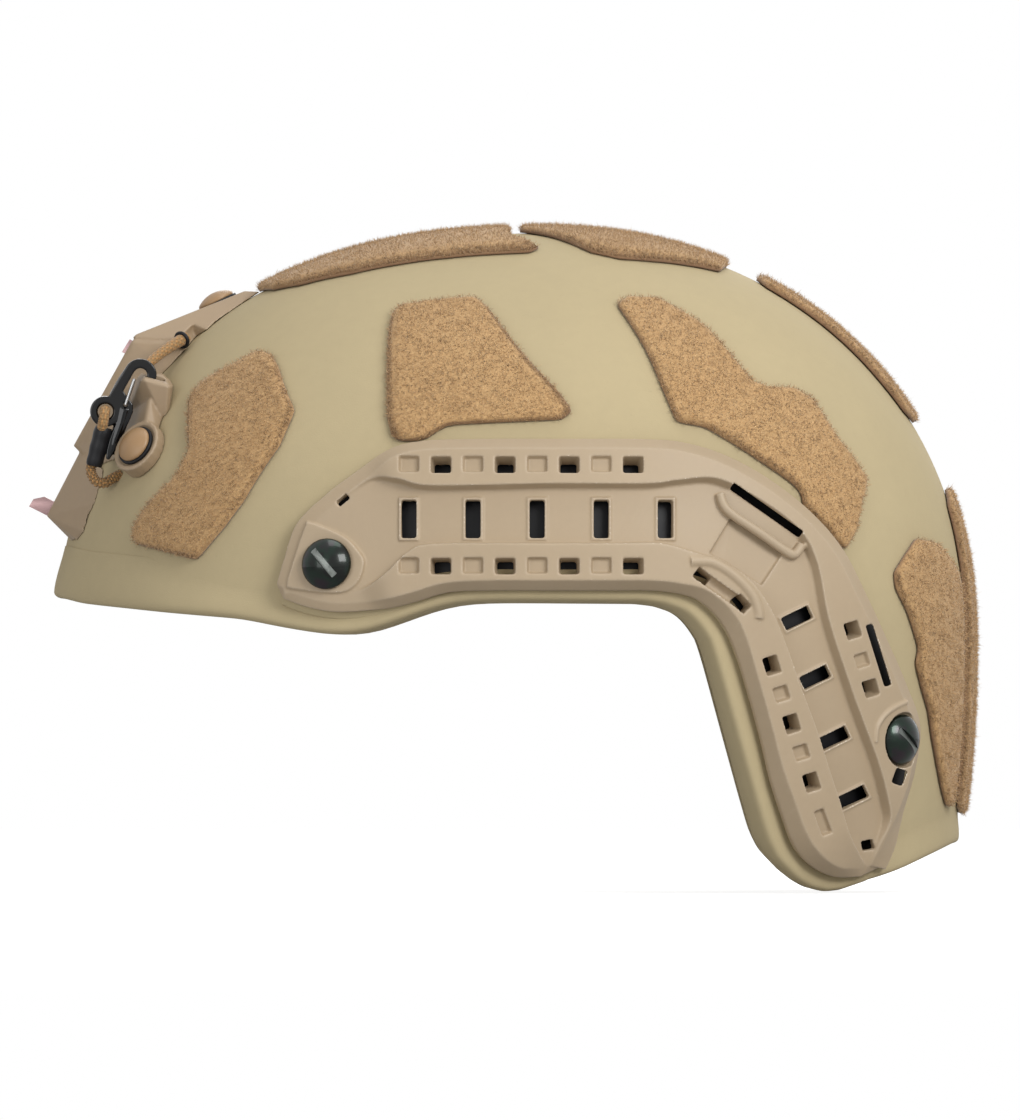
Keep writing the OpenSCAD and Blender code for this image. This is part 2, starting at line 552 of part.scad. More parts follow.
module shroud_insert() color(rose_metal) difference() {
  on_face(insert_w) polygon(insert_profile());
  difference() {
    on_face(insert_w + 2) polygon([[-24.6, -insert_sunk], [24.8, -insert_sunk], [24.8, 1], [-24.6, 1]]);
    on_face(insert_w - 2 * insert_hold - 1) polygon([[-26, -1], [26, -1], [26, 2], [-26, 2]]);
  }
  on_face(dovetail_w) polygon([[-17, -0.1], [40, -0.1], [40, 8], [-17, 8]]);
  hull() {
    on_face(dovetail_w) polygon([[-17, 0], [40, 0], [40, 1], [-17, 1]]);
    on_face(dovetail_w + 3) polygon([[-17, -dovetail_deep], [40, -dovetail_deep], [40, 0.01 - dovetail_deep],
      [-17, 0.01 - dovetail_deep]]);
  }
}

// Shroud bolts stand on their rings
top_seat = 3.4;
ring_t = 1;
module shroud_spots() {
  stand(shroud_top_foot(), shroud_top_way) translate([0, 0, top_seat]) children(0);
  both() stand(shroud_side_foot(), shroud_side_way) translate([0, 0, seat_up]) children(1);
}
module shroud_bolt(seat, tilt) translate([0, 0, ring_t])
  bolt(shroud_head_d, shroud_head_h, undef, ring_t + seat + nut_reach(tilt));
module shroud_bolts() color(bolt_colour) shroud_spots() {
  shroud_bolt(top_seat, top_tilt());
  shroud_bolt(seat_up, side_tilt());
}
module ring() rotate_extrude($fn = 48) translate([shank_d / 2 + 0.4, 0])
  square([(shroud_head_d - shank_d) / 2 + 0.2, ring_t]);
module shroud_washers() color(black) shroud_spots() {
  ring();
  ring();
}
module shroud_nuts() color(black) {
  stand(shroud_top_foot(), shroud_top_way) nut(top_tilt());
  both() stand(shroud_side_foot(), shroud_side_way) nut(side_tilt());
}
grommet_d = cord_d + 1.8;
module cord_grommets() color(black) both() stand(upper_hole, stow_way)
  rotate_extrude($fn = 40) translate([cord_d / 2, -2.2]) square([(grommet_d - cord_d) / 2, 3]);

// Elastic cords of the left side
lower_route = [[-128.6, -42.4, 36.6], [-130.6, -43.2, 35.2], [-133.2, -43.2, 35.6], [-134.8, -43, 38.4],
  [-134.6, -43, 41.2]];
sleeve_foot = [-134.4, -43, 41.4];
sleeve_head = [-131.6, -43, 50.8];
eye = [-130.5, hook_y, 56.6];
stow_route = [[-106.6, -20, 78.8], [-110, -24.4, 76.9], [-113.6, -29, 74.4], [-116.6, -32.8, 71.9],
  [-118.4, -34.8, 70.4]];
// The upper cord starts on the brow's skin and ends on the horn
stow_line = [for (k = [0:4]) mix(fit(stow_route[k]), horn_point(stow_route[k]), k / 4)];
stow_way = unit(stow_line[1] - stow_line[0]);
upper_hole = stow_line[0] + 1.5 * stow_way;
loop_route = [[-131.5, -45.6, 51.7], [-131.2, -46.7, 52.9], [-130.9, -46.8, 54.6], [-130.7, -45.8, 56.4],
  [-130.6, -43, 57], [-130.7, -40.2, 56.4], [-130.9, -39.2, 54.6], [-131.2, -39.3, 52.9],
  [-131.5, -40.4, 51.7]];
loop_d = cord_d - 0.6;
module bungee() tube([for (p = smooth(lower_route, 3)) horn_point(p)], cord_d - 0.6);
module bungee_loop() tube([for (p = smooth(loop_route, 2)) horn_point(p)], loop_d);
module stow_cord() tube(smooth(stow_line, 2), cord_d - 0.4);
// Sleeve over the two strands that lie side by side
module bungee_sleeve() stand(horn_point(sleeve_foot), unit(sleeve_head - sleeve_foot))
  linear_extrude(norm(sleeve_head - sleeve_foot)) {
    for (y = [-1, 1]) translate([0, y * sleeve_spread]) circle(d = sleeve_d, $fn = 24);
    translate([-sleeve_d / 2, -sleeve_spread]) square([sleeve_d, 2 * sleeve_spread]);
  }
sleeve_spread = 1.6;
module bungee_left() color(cord_colour) bungee();
module bungee_right() color(cord_colour) mirror([0, 1, 0]) bungee();
module bungee_loop_left() color(cord_colour) bungee_loop();
module bungee_loop_right() color(cord_colour) mirror([0, 1, 0]) bungee_loop();
module bungee_sleeve_left() color(black) bungee_sleeve();
module bungee_sleeve_right() color(black) mirror([0, 1, 0]) bungee_sleeve();
module stow_cord_left() color(cord_colour) stow_cord();
module stow_cord_right() color(cord_colour) mirror([0, 1, 0]) stow_cord();

// Snap hook, drawn in side view round the middle of its bend
bend = [-120, 67.5];
bend_r = 3.5;
gate_pivot = [-124.4, 58.7];
gate_tip = [-121.9, 66];
bend_from = -8;
bend_to = 150;
eye_d = 5;
function round_at(c, r, a) = c + r * [cos(a), sin(a)];
// Bent bar, its spine down to the eye, the thumb tab and the body that carries the gate, as one outline
function hook_outline() = concat(
  [for (k = [0:15]) round_at(bend, bend_r + hook_bar / 2, mix(bend_from, bend_to, k / 15))],
  [for (a = [78:15:318]) round_at([eye.x, eye.z], 4.6, a)],
  [[-127.8, 52], [-129.2, 48.5], [-130.2, 44.6], [-130.3, 42.4], [-129.4, 42], [-127.4, 45], [-125.6, 49.4],
    [-123.4, 53.4], [-122.2, 56.4], [-122.2, 58.6], [-123.4, 60.4], [-125.1, 62.7]],
  [for (k = [15:-1:0]) round_at(bend, bend_r - hook_bar / 2, mix(bend_from, bend_to, k / 15))],
  [for (k = [1:5]) round_at(round_at(bend, bend_r, bend_from), hook_bar / 2, bend_from + 180 + 30 * k)]);
module hook() translate(horn_shift) translate([0, hook_y + hook_t / 2, 0]) rotate([90, 0, 0]) difference() {
  linear_extrude(hook_t) polygon(hook_outline());
  translate([eye.x, eye.z, -1]) cylinder(h = hook_t + 2, d = eye_d, $fn = 40);
  translate([gate_pivot.x, gate_pivot.y, -1]) cylinder(h = hook_t + 2, d = gate_d + 0.3, $fn = 20);
}
gate_leg = hook_t / 2 + gate_d / 2 + 0.2;
function gate_foot(s) = [gate_pivot.x, hook_y + s * gate_leg, gate_pivot.y];
function gate_head(s) = [gate_tip.x, hook_y + s * gate_leg, gate_tip.y];
module hook_gate() translate(horn_shift) {
  for (s = [-1, 1]) rod(gate_foot(s), gate_head(s));
  rod(gate_foot(-1), gate_foot(1));
  rod(gate_head(-1), gate_head(1));
}
module rod(a, b) {
  stand(a, unit(b - a)) cylinder(h = norm(b - a), d = gate_d, $fn = 20);
  translate(a) sphere(d = gate_d, $fn = 20);
  translate(b) sphere(d = gate_d, $fn = 20);
}
module hook_left() color(black) hook();
module hook_right() color(black) mirror([0, 1, 0]) hook();
module hook_gate_left() color("silver") hook_gate();
module hook_gate_right() color("silver") mirror([0, 1, 0]) hook_gate();

// Pile panels: two edges in side view, point against point
front_a = [[-91.5, 71], [-97.5, 68], [-101.5, 65.5], [-105.5, 61], [-106, 54.5], [-105.5, 45], [-109.5, 37],
  [-118.5, 28], [-122.5, 22], [-122, 17]];
front_b = [[-84.5, 75], [-80.5, 74], [-78.5, 70], [-76, 62.5], [-73.5, 57], [-78, 46.5], [-83, 39.5],
  [-89, 29.5], [-95, 21.5], [-103, 12]];
side_a = [[-41.5, 88.5], [-44.5, 86.5], [-45.5, 81], [-46, 72], [-46, 63], [-46, 55], [-44.5, 49],
  [-41.5, 47.5]];
side_b = [[-20, 91], [-16.5, 89], [-12, 83], [-7.5, 77], [-2, 70.5], [6, 62], [9.8, 56.5], [6.5, 53.5]];
rear_side_a = [[25.5, 91], [35.5, 90.5], [42, 87], [50, 82], [55.5, 76], [60.5, 70], [64, 65.5], [69, 64],
  [76, 64], [81.5, 61], [84.5, 56.5], [89, 49], [95, 41.5], [98.5, 36], [96.5, 29], [95, 21]];
rear_side_b = [[23, 89], [26.5, 84], [30.5, 77.5], [33.5, 71.5], [36.5, 64], [39.5, 57], [41, 53.5],
  [49.5, 52], [58, 47], [66.5, 41.5], [76.5, 34.5], [78.5, 32], [79, 28], [86, 21], [90, 16], [92, 15.5]];
nape_a = [[111.5, 16], [107.5, 10.5], [106.5, 6.5], [107.5, 2.5], [110.5, -3.5], [112.5, -9.5], [114, -14.5],
  [113, -19], [115, -27], [117, -33.5], [118, -41], [119.5, -49], [121, -56.5], [122.5, -62]];
nape_b = [[42, 18], [34, 13.5], [28, 8.5], [26, 5], [26, -1], [26, -9], [26, -14], [26, -20], [26, -27],
  [26, -33.5], [26, -41], [26, -49], [26, -56.5], [26, -62]];
// Centre panels: distance along the helmet, half width there, and how far the middle is drawn in
crown_front_line = [[-84.2, 5, 0], [-80, 20, 0], [-72, 29, 0], [-57, 35.5, 0], [-42, 37.5, 0], [-27, 38.5, 0],
  [-13, 38.5, 4], [-3, 38, 8], [0, 34, 9]];
crown_rear_line = [[-6, 6, 0], [1.5, 17.5, 0], [9, 28, 0], [15, 36, 0], [24, 38.5, 0], [34, 35, 0],
  [44, 30, 0], [54, 24, 0], [56, 10, 0]];
rear_upper_line = [[65, 6, 0], [68, 14, 0], [78, 15, 0], [90, 15.5, 0], [102, 16, 0], [109, 14, 0],
  [112, 6, 0]];
rear_lower_line = [[33, 6], [28, 16], [14, 18], [0, 19], [-14, 20], [-28, 20], [-42, 20], [-56, 19],
  [-62, 16], [-64, 8]];

function side_feet(list) = [for (p = list) side(p, 0, pile_t / 2)];
function nape_feet() = [for (p = nape_b) rear([-p.x, p.y])];
module panel(a, b, strips = 3) color(pile_colour) plate(a, b, pile_gap, pile_gap + pile_t, strips);
module side_panel(a, b) panel(side_feet(a), side_feet(b), 4);
module loop_front_left() side_panel(front_a, front_b);
module loop_front_right() mirror([0, 1, 0]) loop_front_left();
module loop_side_left() side_panel(side_a, side_b);
module loop_side_right() mirror([0, 1, 0]) loop_side_left();
module loop_rear_side_left() side_panel(rear_side_b, rear_side_a);
module loop_rear_side_right() mirror([0, 1, 0]) loop_rear_side_left();
module loop_nape_left() panel(side_feet(nape_a), nape_feet());
module loop_nape_right() mirror([0, 1, 0]) loop_nape_left();
module crown_panel(line) color(pile_colour) loft([for (p = line)
  let (feet = [for (s = [-3:3]) crown([p.x - p.z * min(1, 3 - abs(s)), s / 3 * p.y])])
  concat([for (f = feet) on_skin(f, pile_gap)], [for (k = [6:-1:0]) on_skin(feet[k], pile_gap + pile_t)])]);
module loop_crown_front() crown_panel(crown_front_line);
module loop_crown_rear() crown_panel(crown_rear_line);
module loop_rear_upper() crown_panel(rear_upper_line);
module loop_rear_lower() panel([for (p = rear_lower_line) rear([-p.y, p.x])],
  [for (p = rear_lower_line) rear([p.y, p.x])], 4);

// Comfort pads: crowned cushions that lie inside the shell on their hook discs
disc_low = wall + 0.9;
disc_high = disc_low + 1;
disc_r = 10;
pad_back = disc_high + gap;
pad_turns = 16;
function pad_frame(c) =
  let (n = normal(c), e = abs(n.z) > 0.98 ? [1, 0, 0] : unit(cross([0, 0, 1], n))) [e, cross(n, e)];
function pad_edge(angle, w, h) =
  [w * sign(cos(angle)) * pow(abs(cos(angle)), 0.72), h * sign(sin(angle)) * pow(abs(sin(angle)), 0.72)];
module pad(c, w, h) {
  f = pad_frame(c);
  function spot(r, k, off) =
    let (e = r * pad_edge(k * 360 / pad_turns, w, h)) on_skin(c + f[0] * e.x + f[1] * e.y, -off);
  // Share of the pad's outline and of its thickness, from the back's middle to the face's middle
  section = [[0.02, 0.03], [0.6, 0], [0.9, 0.02], [0.98, 0.2], [1, 0.45], [0.97, 0.72], [0.87, 0.9],
    [0.66, 0.97], [0.36, 1], [0.02, 1]];
  color(foam_colour)
    loft([for (s = section) [for (k = [1:pad_turns]) spot(s[0], -k, pad_back + s[1] * pad_t)]]);
}
front_pad_spot = [0, 26];
rear_pad_spot = [0, 4];
side_front_spot = [-68, 46];
side_rear_spot = [62, 32];
module pad_front() pad(front(front_pad_spot), 32, 15);
module pad_crown() pad(crown_top, 50, 46);
module pad_rear() pad(rear(rear_pad_spot), 34, 24);
module pad_side_front_left() pad(side(side_front_spot, 0), 26, 16);
module pad_side_front_right() mirror([0, 1, 0]) pad_side_front_left();
module pad_side_rear_left() pad(side(side_rear_spot, 0), 27, 19);
module pad_side_rear_right() mirror([0, 1, 0]) pad_side_rear_left();
module hook_disc(c) {
  f = pad_frame(c);
  loft([for (off = [disc_high, disc_low]) [for (k = [0:9]) let (a = k * 36)
    on_skin(c + disc_r * (f[0] * cos(a) + f[1] * sin(a)), -off)]]);
}
module pad_hooks() color(black) {
  hook_disc(front(front_pad_spot));
  hook_disc(crown_top);
  hook_disc(rear(rear_pad_spot));
  both() {
    hook_disc(side(side_front_spot, 0));
    hook_disc(side(side_rear_spot, 0));
  }
}

shell();
edge_trim();
rail_seat_left();
rail_seat_right();
rail_left();
rail_right();
rail_bolts_left();
rail_bolts_right();
rail_nuts_left();
rail_nuts_right();
shroud_frame();
shroud_insert();
shroud_bolts();
shroud_washers();
shroud_nuts();
cord_grommets();
bungee_left();
bungee_right();
bungee_loop_left();
bungee_loop_right();
bungee_sleeve_left();
bungee_sleeve_right();
stow_cord_left();
stow_cord_right();
hook_left();
hook_right();
hook_gate_left();
hook_gate_right();
loop_front_left();
loop_front_right();
loop_side_left();
loop_side_right();
loop_rear_side_left();
loop_rear_side_right();
loop_nape_left();
loop_nape_right();
loop_crown_front();
loop_crown_rear();
loop_rear_upper();
loop_rear_lower();
pad_front();
pad_crown();
pad_rear();
pad_side_front_left();
pad_side_front_right();
pad_side_rear_left();
pad_side_rear_right();
pad_hooks();
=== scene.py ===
"""Dresses a high-cut combat helmet: fine mouldings, pile panels, cords, hooks, pads and their finishes.

Lengths are in millimetres up to the point where a mesh is made, which is in metres.
Front is -X, the wearer's left is -Y and up is +Z, as in the frame.
"""
import math

import bpy
import numpy as np
from bpy.props import FloatProperty, FloatVectorProperty, IntProperty, PointerProperty
from mathutils import Matrix, Vector


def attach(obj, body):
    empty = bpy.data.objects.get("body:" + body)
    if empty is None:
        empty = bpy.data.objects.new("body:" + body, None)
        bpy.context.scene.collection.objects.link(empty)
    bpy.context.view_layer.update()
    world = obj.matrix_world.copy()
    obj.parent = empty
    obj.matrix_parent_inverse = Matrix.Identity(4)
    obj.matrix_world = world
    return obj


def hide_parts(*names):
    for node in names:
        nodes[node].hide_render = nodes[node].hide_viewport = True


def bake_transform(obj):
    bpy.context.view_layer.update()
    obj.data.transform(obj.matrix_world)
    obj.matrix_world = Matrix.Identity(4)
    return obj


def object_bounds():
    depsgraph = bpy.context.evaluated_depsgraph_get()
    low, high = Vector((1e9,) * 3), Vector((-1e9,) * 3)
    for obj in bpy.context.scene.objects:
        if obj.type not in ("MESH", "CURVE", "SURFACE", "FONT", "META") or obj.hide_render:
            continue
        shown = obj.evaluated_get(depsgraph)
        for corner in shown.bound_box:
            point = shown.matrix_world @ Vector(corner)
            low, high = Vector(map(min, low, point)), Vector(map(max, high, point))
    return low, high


bl_info = {
    "name": "Combat helmet dressing",
    "version": (1, 0, 0),
    "blender": (4, 5, 0),
    "location": "View3D > Sidebar > Helmet",
    "description": "Mouldings, pile panels, cords, pads and finishes of a high-cut helmet",
    "category": "Object",
}

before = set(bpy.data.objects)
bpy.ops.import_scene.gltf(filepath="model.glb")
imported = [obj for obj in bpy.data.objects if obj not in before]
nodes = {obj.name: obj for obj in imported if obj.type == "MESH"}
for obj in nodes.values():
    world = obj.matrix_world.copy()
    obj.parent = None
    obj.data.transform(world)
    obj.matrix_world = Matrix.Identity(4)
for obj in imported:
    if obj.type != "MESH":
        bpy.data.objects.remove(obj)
cad_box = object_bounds()
MM = 0.001
LEFT, RIGHT = np.array([1, 1, 1]), np.array([1, -1, 1])


# Form of the helmet's skin
WIDE_LEVEL = -12.0
FRONT, REAR, HALF_WIDTH, CROWN, TUCK = 145.5, 129.0, 108.0, 122.4, 206.0
POWER_FRONT, POWER_REAR, POWER_Y, POWER_Z = 2.27, 2.1, 2.1, 2.16
WALL = 8.0
GAP = 0.3
BAND_T = 1.2
INSET = BAND_T + GAP
LEVEL = np.array([0.0, 0.0, WIDE_LEVEL])
EDGE_LINE = np.array([
    [-150, 0.5], [-144, 0.5], [-138, -1], [-114, -3.5], [-90, -5.5], [-78, -8], [-66, -10], [-60, -10.5],
    [-54, -10], [-49.5, -9], [-45, -7], [-39, -5], [-33, -2.5], [-24, -0.3], [-12, 0], [30, -0.3], [36, -1],
    [42, -3], [45, -5], [48, -8.5], [51, -13.5], [54, -24], [57.3, -36], [64, -60], [67.5, -72], [70.5, -78],
    [76.5, -84], [81, -86.5], [85.5, -87.5], [90, -87], [96, -85], [108, -81], [124, -73.5], [135, -72]])
LEG_LINE = np.array([
    [-150, 4.5], [-88, 4.5], [-80, 1.8], [-50, 1.6], [-44, 0.7], [40, 0.7], [49, 3], [78, 3], [86, 0.7],
    [104, 0.7], [112, 4.5]])
BAND_TALL = np.array([[-119, 14.4], [-108, 10], [-96, 8], [104, 8], [112, 9]])
BAND_STEP = np.array([[-123, 0.22], [-116, 0.0]])


def reach(x, off=0.0):
    return np.where(x < 0, FRONT, REAR) + off


def power_x(x):
    return np.where(x < 0, POWER_FRONT, POWER_REAR)


def rise(z, off=0.0):
    return np.where(z < WIDE_LEVEL, TUCK, CROWN) + off


def share_x(x, off=0.0):
    return (np.abs(x) / reach(x, off)) ** power_x(x)


def share_y(y, off=0.0):
    return (np.abs(y) / (HALF_WIDTH + off)) ** POWER_Y


def share_z(z, off=0.0):
    return (np.abs(z - WIDE_LEVEL) / rise(z, off)) ** POWER_Z


def unit(v):
    return v / np.maximum(np.linalg.norm(v, axis=-1, keepdims=True), 1e-12)


def normal(p):
    """Outward direction of the skin at points p."""
    def steep(v, size, power):
        return np.sign(v) * power / size * (np.maximum(np.abs(v), 0.01) / size) ** (power - 1)
    x, y, z = p[..., 0], p[..., 1], p[..., 2]
    return unit(np.stack([steep(x, reach(x), power_x(x)), steep(y, HALF_WIDTH, POWER_Y),
                          steep(z - WIDE_LEVEL, rise(z), POWER_Z)], -1))


def on_skin(p, off=0.0):
    """Points moved in or out until they lie `off` above the skin."""
    q = np.asarray(p, float) - LEVEL
    for _ in range(5):
        total = share_x(q[..., 0]) + share_y(q[..., 1]) + share_z(q[..., 2] + WIDE_LEVEL)
        q = q * total[..., None] ** (-1 / 2.15)
    foot = q + LEVEL
    return foot + np.asarray(off, float)[..., None] * normal(foot)


def side(p, off=0.0, ref=0.0):
    """Points of the left side, drawn in side view where they stand `ref` above the shell, moved to `off`."""
    p = np.asarray(p, float)
    x, z = p[..., 0], p[..., 1]
    room = np.maximum(1 - share_x(x, ref) - share_z(z, ref), 1e-4)
    foot = np.stack([x, -(HALF_WIDTH + ref) * room ** (1 / POWER_Y), z], -1)
    return foot + (np.asarray(off, float) - ref)[..., None] * normal(foot)


def crown(x, y):
    """Points of the top from their X and Y."""
    room = np.maximum(1 - share_x(x) - share_y(y), 1e-4)
    return np.stack([x, y, WIDE_LEVEL + CROWN * room ** (1 / POWER_Z)], -1)


def end(y, z, way):
    """Points of the back (way 1) or the front (way -1) from their Y and Z."""
    power, size = (POWER_REAR, REAR) if way > 0 else (POWER_FRONT, FRONT)
    room = np.maximum(1 - share_y(y) - share_z(z), 1e-4)
    return np.stack([way * size * room ** (1 / power), y, z], -1)


def skin_point(bearing, lift, off=0.0):
    """Points of the skin from their bearing round the helmet and their elevation."""
    cb, sb = np.cos(bearing), np.sin(bearing)
    level = np.cos(lift) ** 2
    fore = np.where(cb < 0, -1.0, 1.0)
    z_sign = np.sign(lift)
    return np.stack([
        fore * reach(fore, off) * (level * cb ** 2) ** (1 / power_x(fore)),
        np.sign(sb) * (HALF_WIDTH + off) * (level * sb ** 2) ** (1 / POWER_Y),
        WIDE_LEVEL + z_sign * rise(WIDE_LEVEL + z_sign, off) * (np.sin(lift) ** 2) ** (1 / POWER_Z)], -1)


def between(first, second, angle):
    """Directions at these angles from the first axis towards the second."""
    angle = angle[..., None]
    return first * np.cos(angle) + second * np.sin(angle)


def curve(rows, t):
    """Smooth line through rows at the stations t."""
    rows, t = np.asarray(rows, float), np.atleast_1d(np.asarray(t, float))
    last = len(rows) - 1
    i = np.minimum(t.astype(int), last - 1)
    f = (t - i).reshape((-1,) + (1,) * (rows.ndim - 1))
    a, b, c, d = rows[np.maximum(i - 1, 0)], rows[i], rows[i + 1], rows[np.minimum(i + 2, last)]
    return 0.5 * (2 * b + (c - a) * f + (2 * a - 5 * b + 4 * c - d) * f ** 2
                  + (3 * b - a - 3 * c + d) * f ** 3)


# Modelling helpers
EDGE_GAIN = 4


def pick(*pieces):
    """Selects these pieces alone, the last one active, in object mode."""
    if bpy.context.object and bpy.context.object.mode != "OBJECT":
        bpy.ops.object.mode_set(mode="OBJECT")
    bpy.ops.object.select_all(action="DESELECT")
    for piece in pieces:
        piece.select_set(True)
        bpy.context.view_layer.objects.active = piece


def named(piece, name):
    piece.name = name
    piece.data.name = name
    return piece


def new_object(name, data):
    piece = bpy.data.objects.new(name, data)
    bpy.context.scene.collection.objects.link(piece)
    return piece


def points_of(piece):
    """A piece's vertices, in metres."""
    points = np.empty(len(piece.data.vertices) * 3, np.float32)
    piece.data.vertices.foreach_get("co", points)
    return points.reshape(-1, 3)


def lay_points(piece, points):
    """Puts a piece's vertices at these points, in metres."""
    piece.data.vertices.foreach_set("co", points.astype(np.float32).ravel())
    piece.data.update()


def laid_grid(name, points):
    """A grid primitive whose vertices are laid on a table of points, rows by columns, in mm."""
    rows, columns = points.shape[:2]
    pick()
    bpy.ops.mesh.primitive_grid_add(x_subdivisions=columns - 1, y_subdivisions=rows - 1, size=2)
    piece = named(bpy.context.object, name)
    lay_points(piece, points * MM)
    return piece


def tidy_mesh(piece, caps=True):
    """Closes the seams and ends of a shaped grid and turns its faces outwards."""
    pick(piece)
    bpy.ops.object.mode_set(mode="EDIT")
    bpy.ops.mesh.select_all(action="SELECT")
    bpy.ops.mesh.remove_doubles(threshold=2e-6)
    if caps:
        bpy.ops.mesh.fill_holes(sides=0)
        bpy.ops.mesh.select_all(action="SELECT")
    bpy.ops.mesh.normals_make_consistent(inside=False)
    bpy.ops.object.mode_set(mode="OBJECT")
    return piece


def loft(name, rings, wrap=False, caps=True):
    """A closed skin over rings of points, in mm; `wrap` joins the last ring to the first."""
    rings = np.concatenate([rings, rings[:, :1]], 1)
    if wrap:
        rings = np.concatenate([rings, rings[:1]], 0)
    return tidy_mesh(laid_grid(name, rings), caps and not wrap)


def shape_with(piece, kind, **values):
    """Adds a modifier with these values and applies it."""
    pick(piece)
    modifier = piece.modifiers.new(kind.title(), kind)
    for key, value in values.items():
        setattr(modifier, key, value)
    bpy.ops.object.modifier_apply(modifier=modifier.name)
    return piece


def joined(name, pieces):
    pick(*pieces)
    if len(pieces) > 1:
        bpy.ops.object.join()
    return named(bpy.context.object, name)


def combine(piece, tool, operation):
    shape_with(piece, "BOOLEAN", operation=operation, object=tool, solver="EXACT", use_self=True)
    bpy.data.objects.remove(tool)
    return piece


def smooth(piece, angle=None):
    pick(piece)
    if angle is None:
        bpy.ops.object.shade_smooth()
    else:
        bpy.ops.object.shade_smooth_by_angle(angle=math.radians(angle))
    return piece


def mould(piece, voxel, rounds, keep):
    """Gives a piece the soft edges of a moulding: even cells, rounded, then thinned out."""
    shape_with(piece, "REMESH", mode="VOXEL", voxel_size=voxel * MM)
    shape_with(piece, "SMOOTH", factor=0.5, iterations=rounds)
    if keep < 1:
        shape_with(piece, "DECIMATE", ratio=keep)
    return smooth(piece)


def copy_of(node, name):
    """A merged copy of a CAD node's mesh, as a new piece."""
    piece = new_object(name, nodes[node].data.copy())
    piece.data.materials.clear()
    pick(piece)
    bpy.ops.object.mode_set(mode="EDIT")
    bpy.ops.mesh.select_all(action="SELECT")
    bpy.ops.mesh.remove_doubles(threshold=1e-6)
    bpy.ops.object.mode_set(mode="OBJECT")
    return named(piece, name)


def pair(piece):
    """A piece of the left side and its mirror image, with a mesh of its own, each beside its side's name."""
    name = piece.name.replace("left", "right")
    twin = new_object(name, piece.data.copy())
    twin.data.transform(Matrix.Scale(-1, 4, (0, 1, 0)))
    twin.data.flip_normals()
    return (piece, "left"), (named(twin, name), "right")


def mark(mesh, **values):
    """Writes numbers on a mesh's vertices, for its material to read."""
    for label, value in values.items():
        mesh.attributes.new(label, "FLOAT", "POINT").data.foreach_set("value", value.astype(np.float32))


def mark_edges(piece):
    """Writes how far each vertex stands out from its neighbours, for the lighter edges: worn chips and a
    painted highlight.
    """
    mesh, co = piece.data, points_of(piece)
    out = np.empty(co.size, np.float32)
    mesh.vertex_normals.foreach_get("vector", out)
    out = out.reshape(-1, 3)
    ends = np.empty(len(mesh.edges) * 2, np.int32)
    mesh.edges.foreach_get("vertices", ends)
    a, b = ends.reshape(-1, 2).T
    way = unit(co[b] - co[a])
    total, seen = np.zeros(len(co)), np.zeros(len(co))
    for tip, sign in ((a, -1), (b, 1)):
        np.add.at(total, tip, sign * (out[tip] * way).sum(1))
        np.add.at(seen, tip, 1)
    mark(mesh, edge=np.clip(total / np.maximum(seen, 1) * EDGE_GAIN, 0, 1))


def paint(text):
    """Linear colour of a hex code."""
    parts = [int(text[i:i + 2], 16) / 255 for i in (1, 3, 5)]
    return tuple(c / 12.92 if c <= 0.04045 else ((c + 0.055) / 1.055) ** 2.4 for c in parts)


def dress(piece, *materials):
    """Gives a piece these materials and no other."""
    piece.data.materials.clear()
    for material in materials:
        piece.data.materials.append(material)


def seat(piece, material, node=None, body="helmet"):
    """Gives a piece its finish and body, and hides the node that it stands for."""
    if material is not None:
        dress(piece, material)
    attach(piece, body)
    if node:
        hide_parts(node)


def seat_pair(piece, material, node=None, body="helmet"):
    """Seats a piece of the left side and its mirror image; {} in the body's name stands for the side."""
    for part, wing in pair(piece):
        seat(part, material, node and f"{node}_{wing}", body.format(wing))


# Settings
def tint(name, description, code):
    return FloatVectorProperty(name=name, description=description, subtype="COLOR", min=0, max=1,
                               default=paint(code))


def span(name, description, default, low, high):
    return FloatProperty(name=name, description=description, unit="LENGTH", default=default, min=low,
                         max=high)


class HelmetColours(bpy.types.PropertyGroup):
    shell: tint("Shell paint", "Matt paint of the shell and its edge band", "#AFA07E")
    rail: tint("Rail", "Moulded polymer of the side rails", "#A69379")
    shroud: tint("Shroud", "Moulded polymer of the front shroud", "#99846A")
    insert: tint("Insert", "Anodised metal of the shroud's insert", "#B09090")
    bolt: tint("Shroud bolt", "Paint of the three shroud bolts", "#9C7C58")
    pile: tint("Pile", "Fibres of the hook-and-loop panels", "#BF9E71")
    cord: tint("Cord", "Braided cover of the elastic cords", "#B08E5E")
    pad: tint("Pad", "Brushed fabric of the comfort pads", "#4C483A")


class HelmetMake(bpy.types.PropertyGroup):
    fibre_density: FloatProperty(name="Fibre density", description="Fibres on a square millimetre of pile",
                                 default=4.1, min=0.2, max=6)
    fibre_length: span("Fibre length", "Length of a pile fibre", 0.0022, 0.001, 0.006)
    moulding_cell: span("Moulding cell", "Cell size of the moulded pieces", 0.00036, 0.0003, 0.001)
    pad_cell: span("Pad cell", "Cell size of the pads' cloth", 0.003, 0.002, 0.006)
    pad_frames: IntProperty(name="Pad frames", description="Steps of the pads' cloth simulation",
                            default=16, min=4, max=40)


def hue(key):
    """A colour of the settings."""
    return tuple(getattr(bpy.context.scene.helmet_colours, key))


def make():
    return bpy.context.scene.helmet_make


# Shader groups
# Colour of the painted shade at the fibres' roots and the backing's rim.
PILE_ROOT_SHADE = (0.19, 0.108, 0.06)


def new_group(name, inputs, outputs):
    group = bpy.data.node_groups.new(name, "ShaderNodeTree")
    for label, kind, value in inputs:
        socket = group.interface.new_socket(label, in_out="INPUT", socket_type=kind)
        if value is not None:
            socket.default_value = value
    for label, kind in outputs:
        group.interface.new_socket(label, in_out="OUTPUT", socket_type=kind)
    return group, group.nodes.new("NodeGroupInput"), group.nodes.new("NodeGroupOutput")


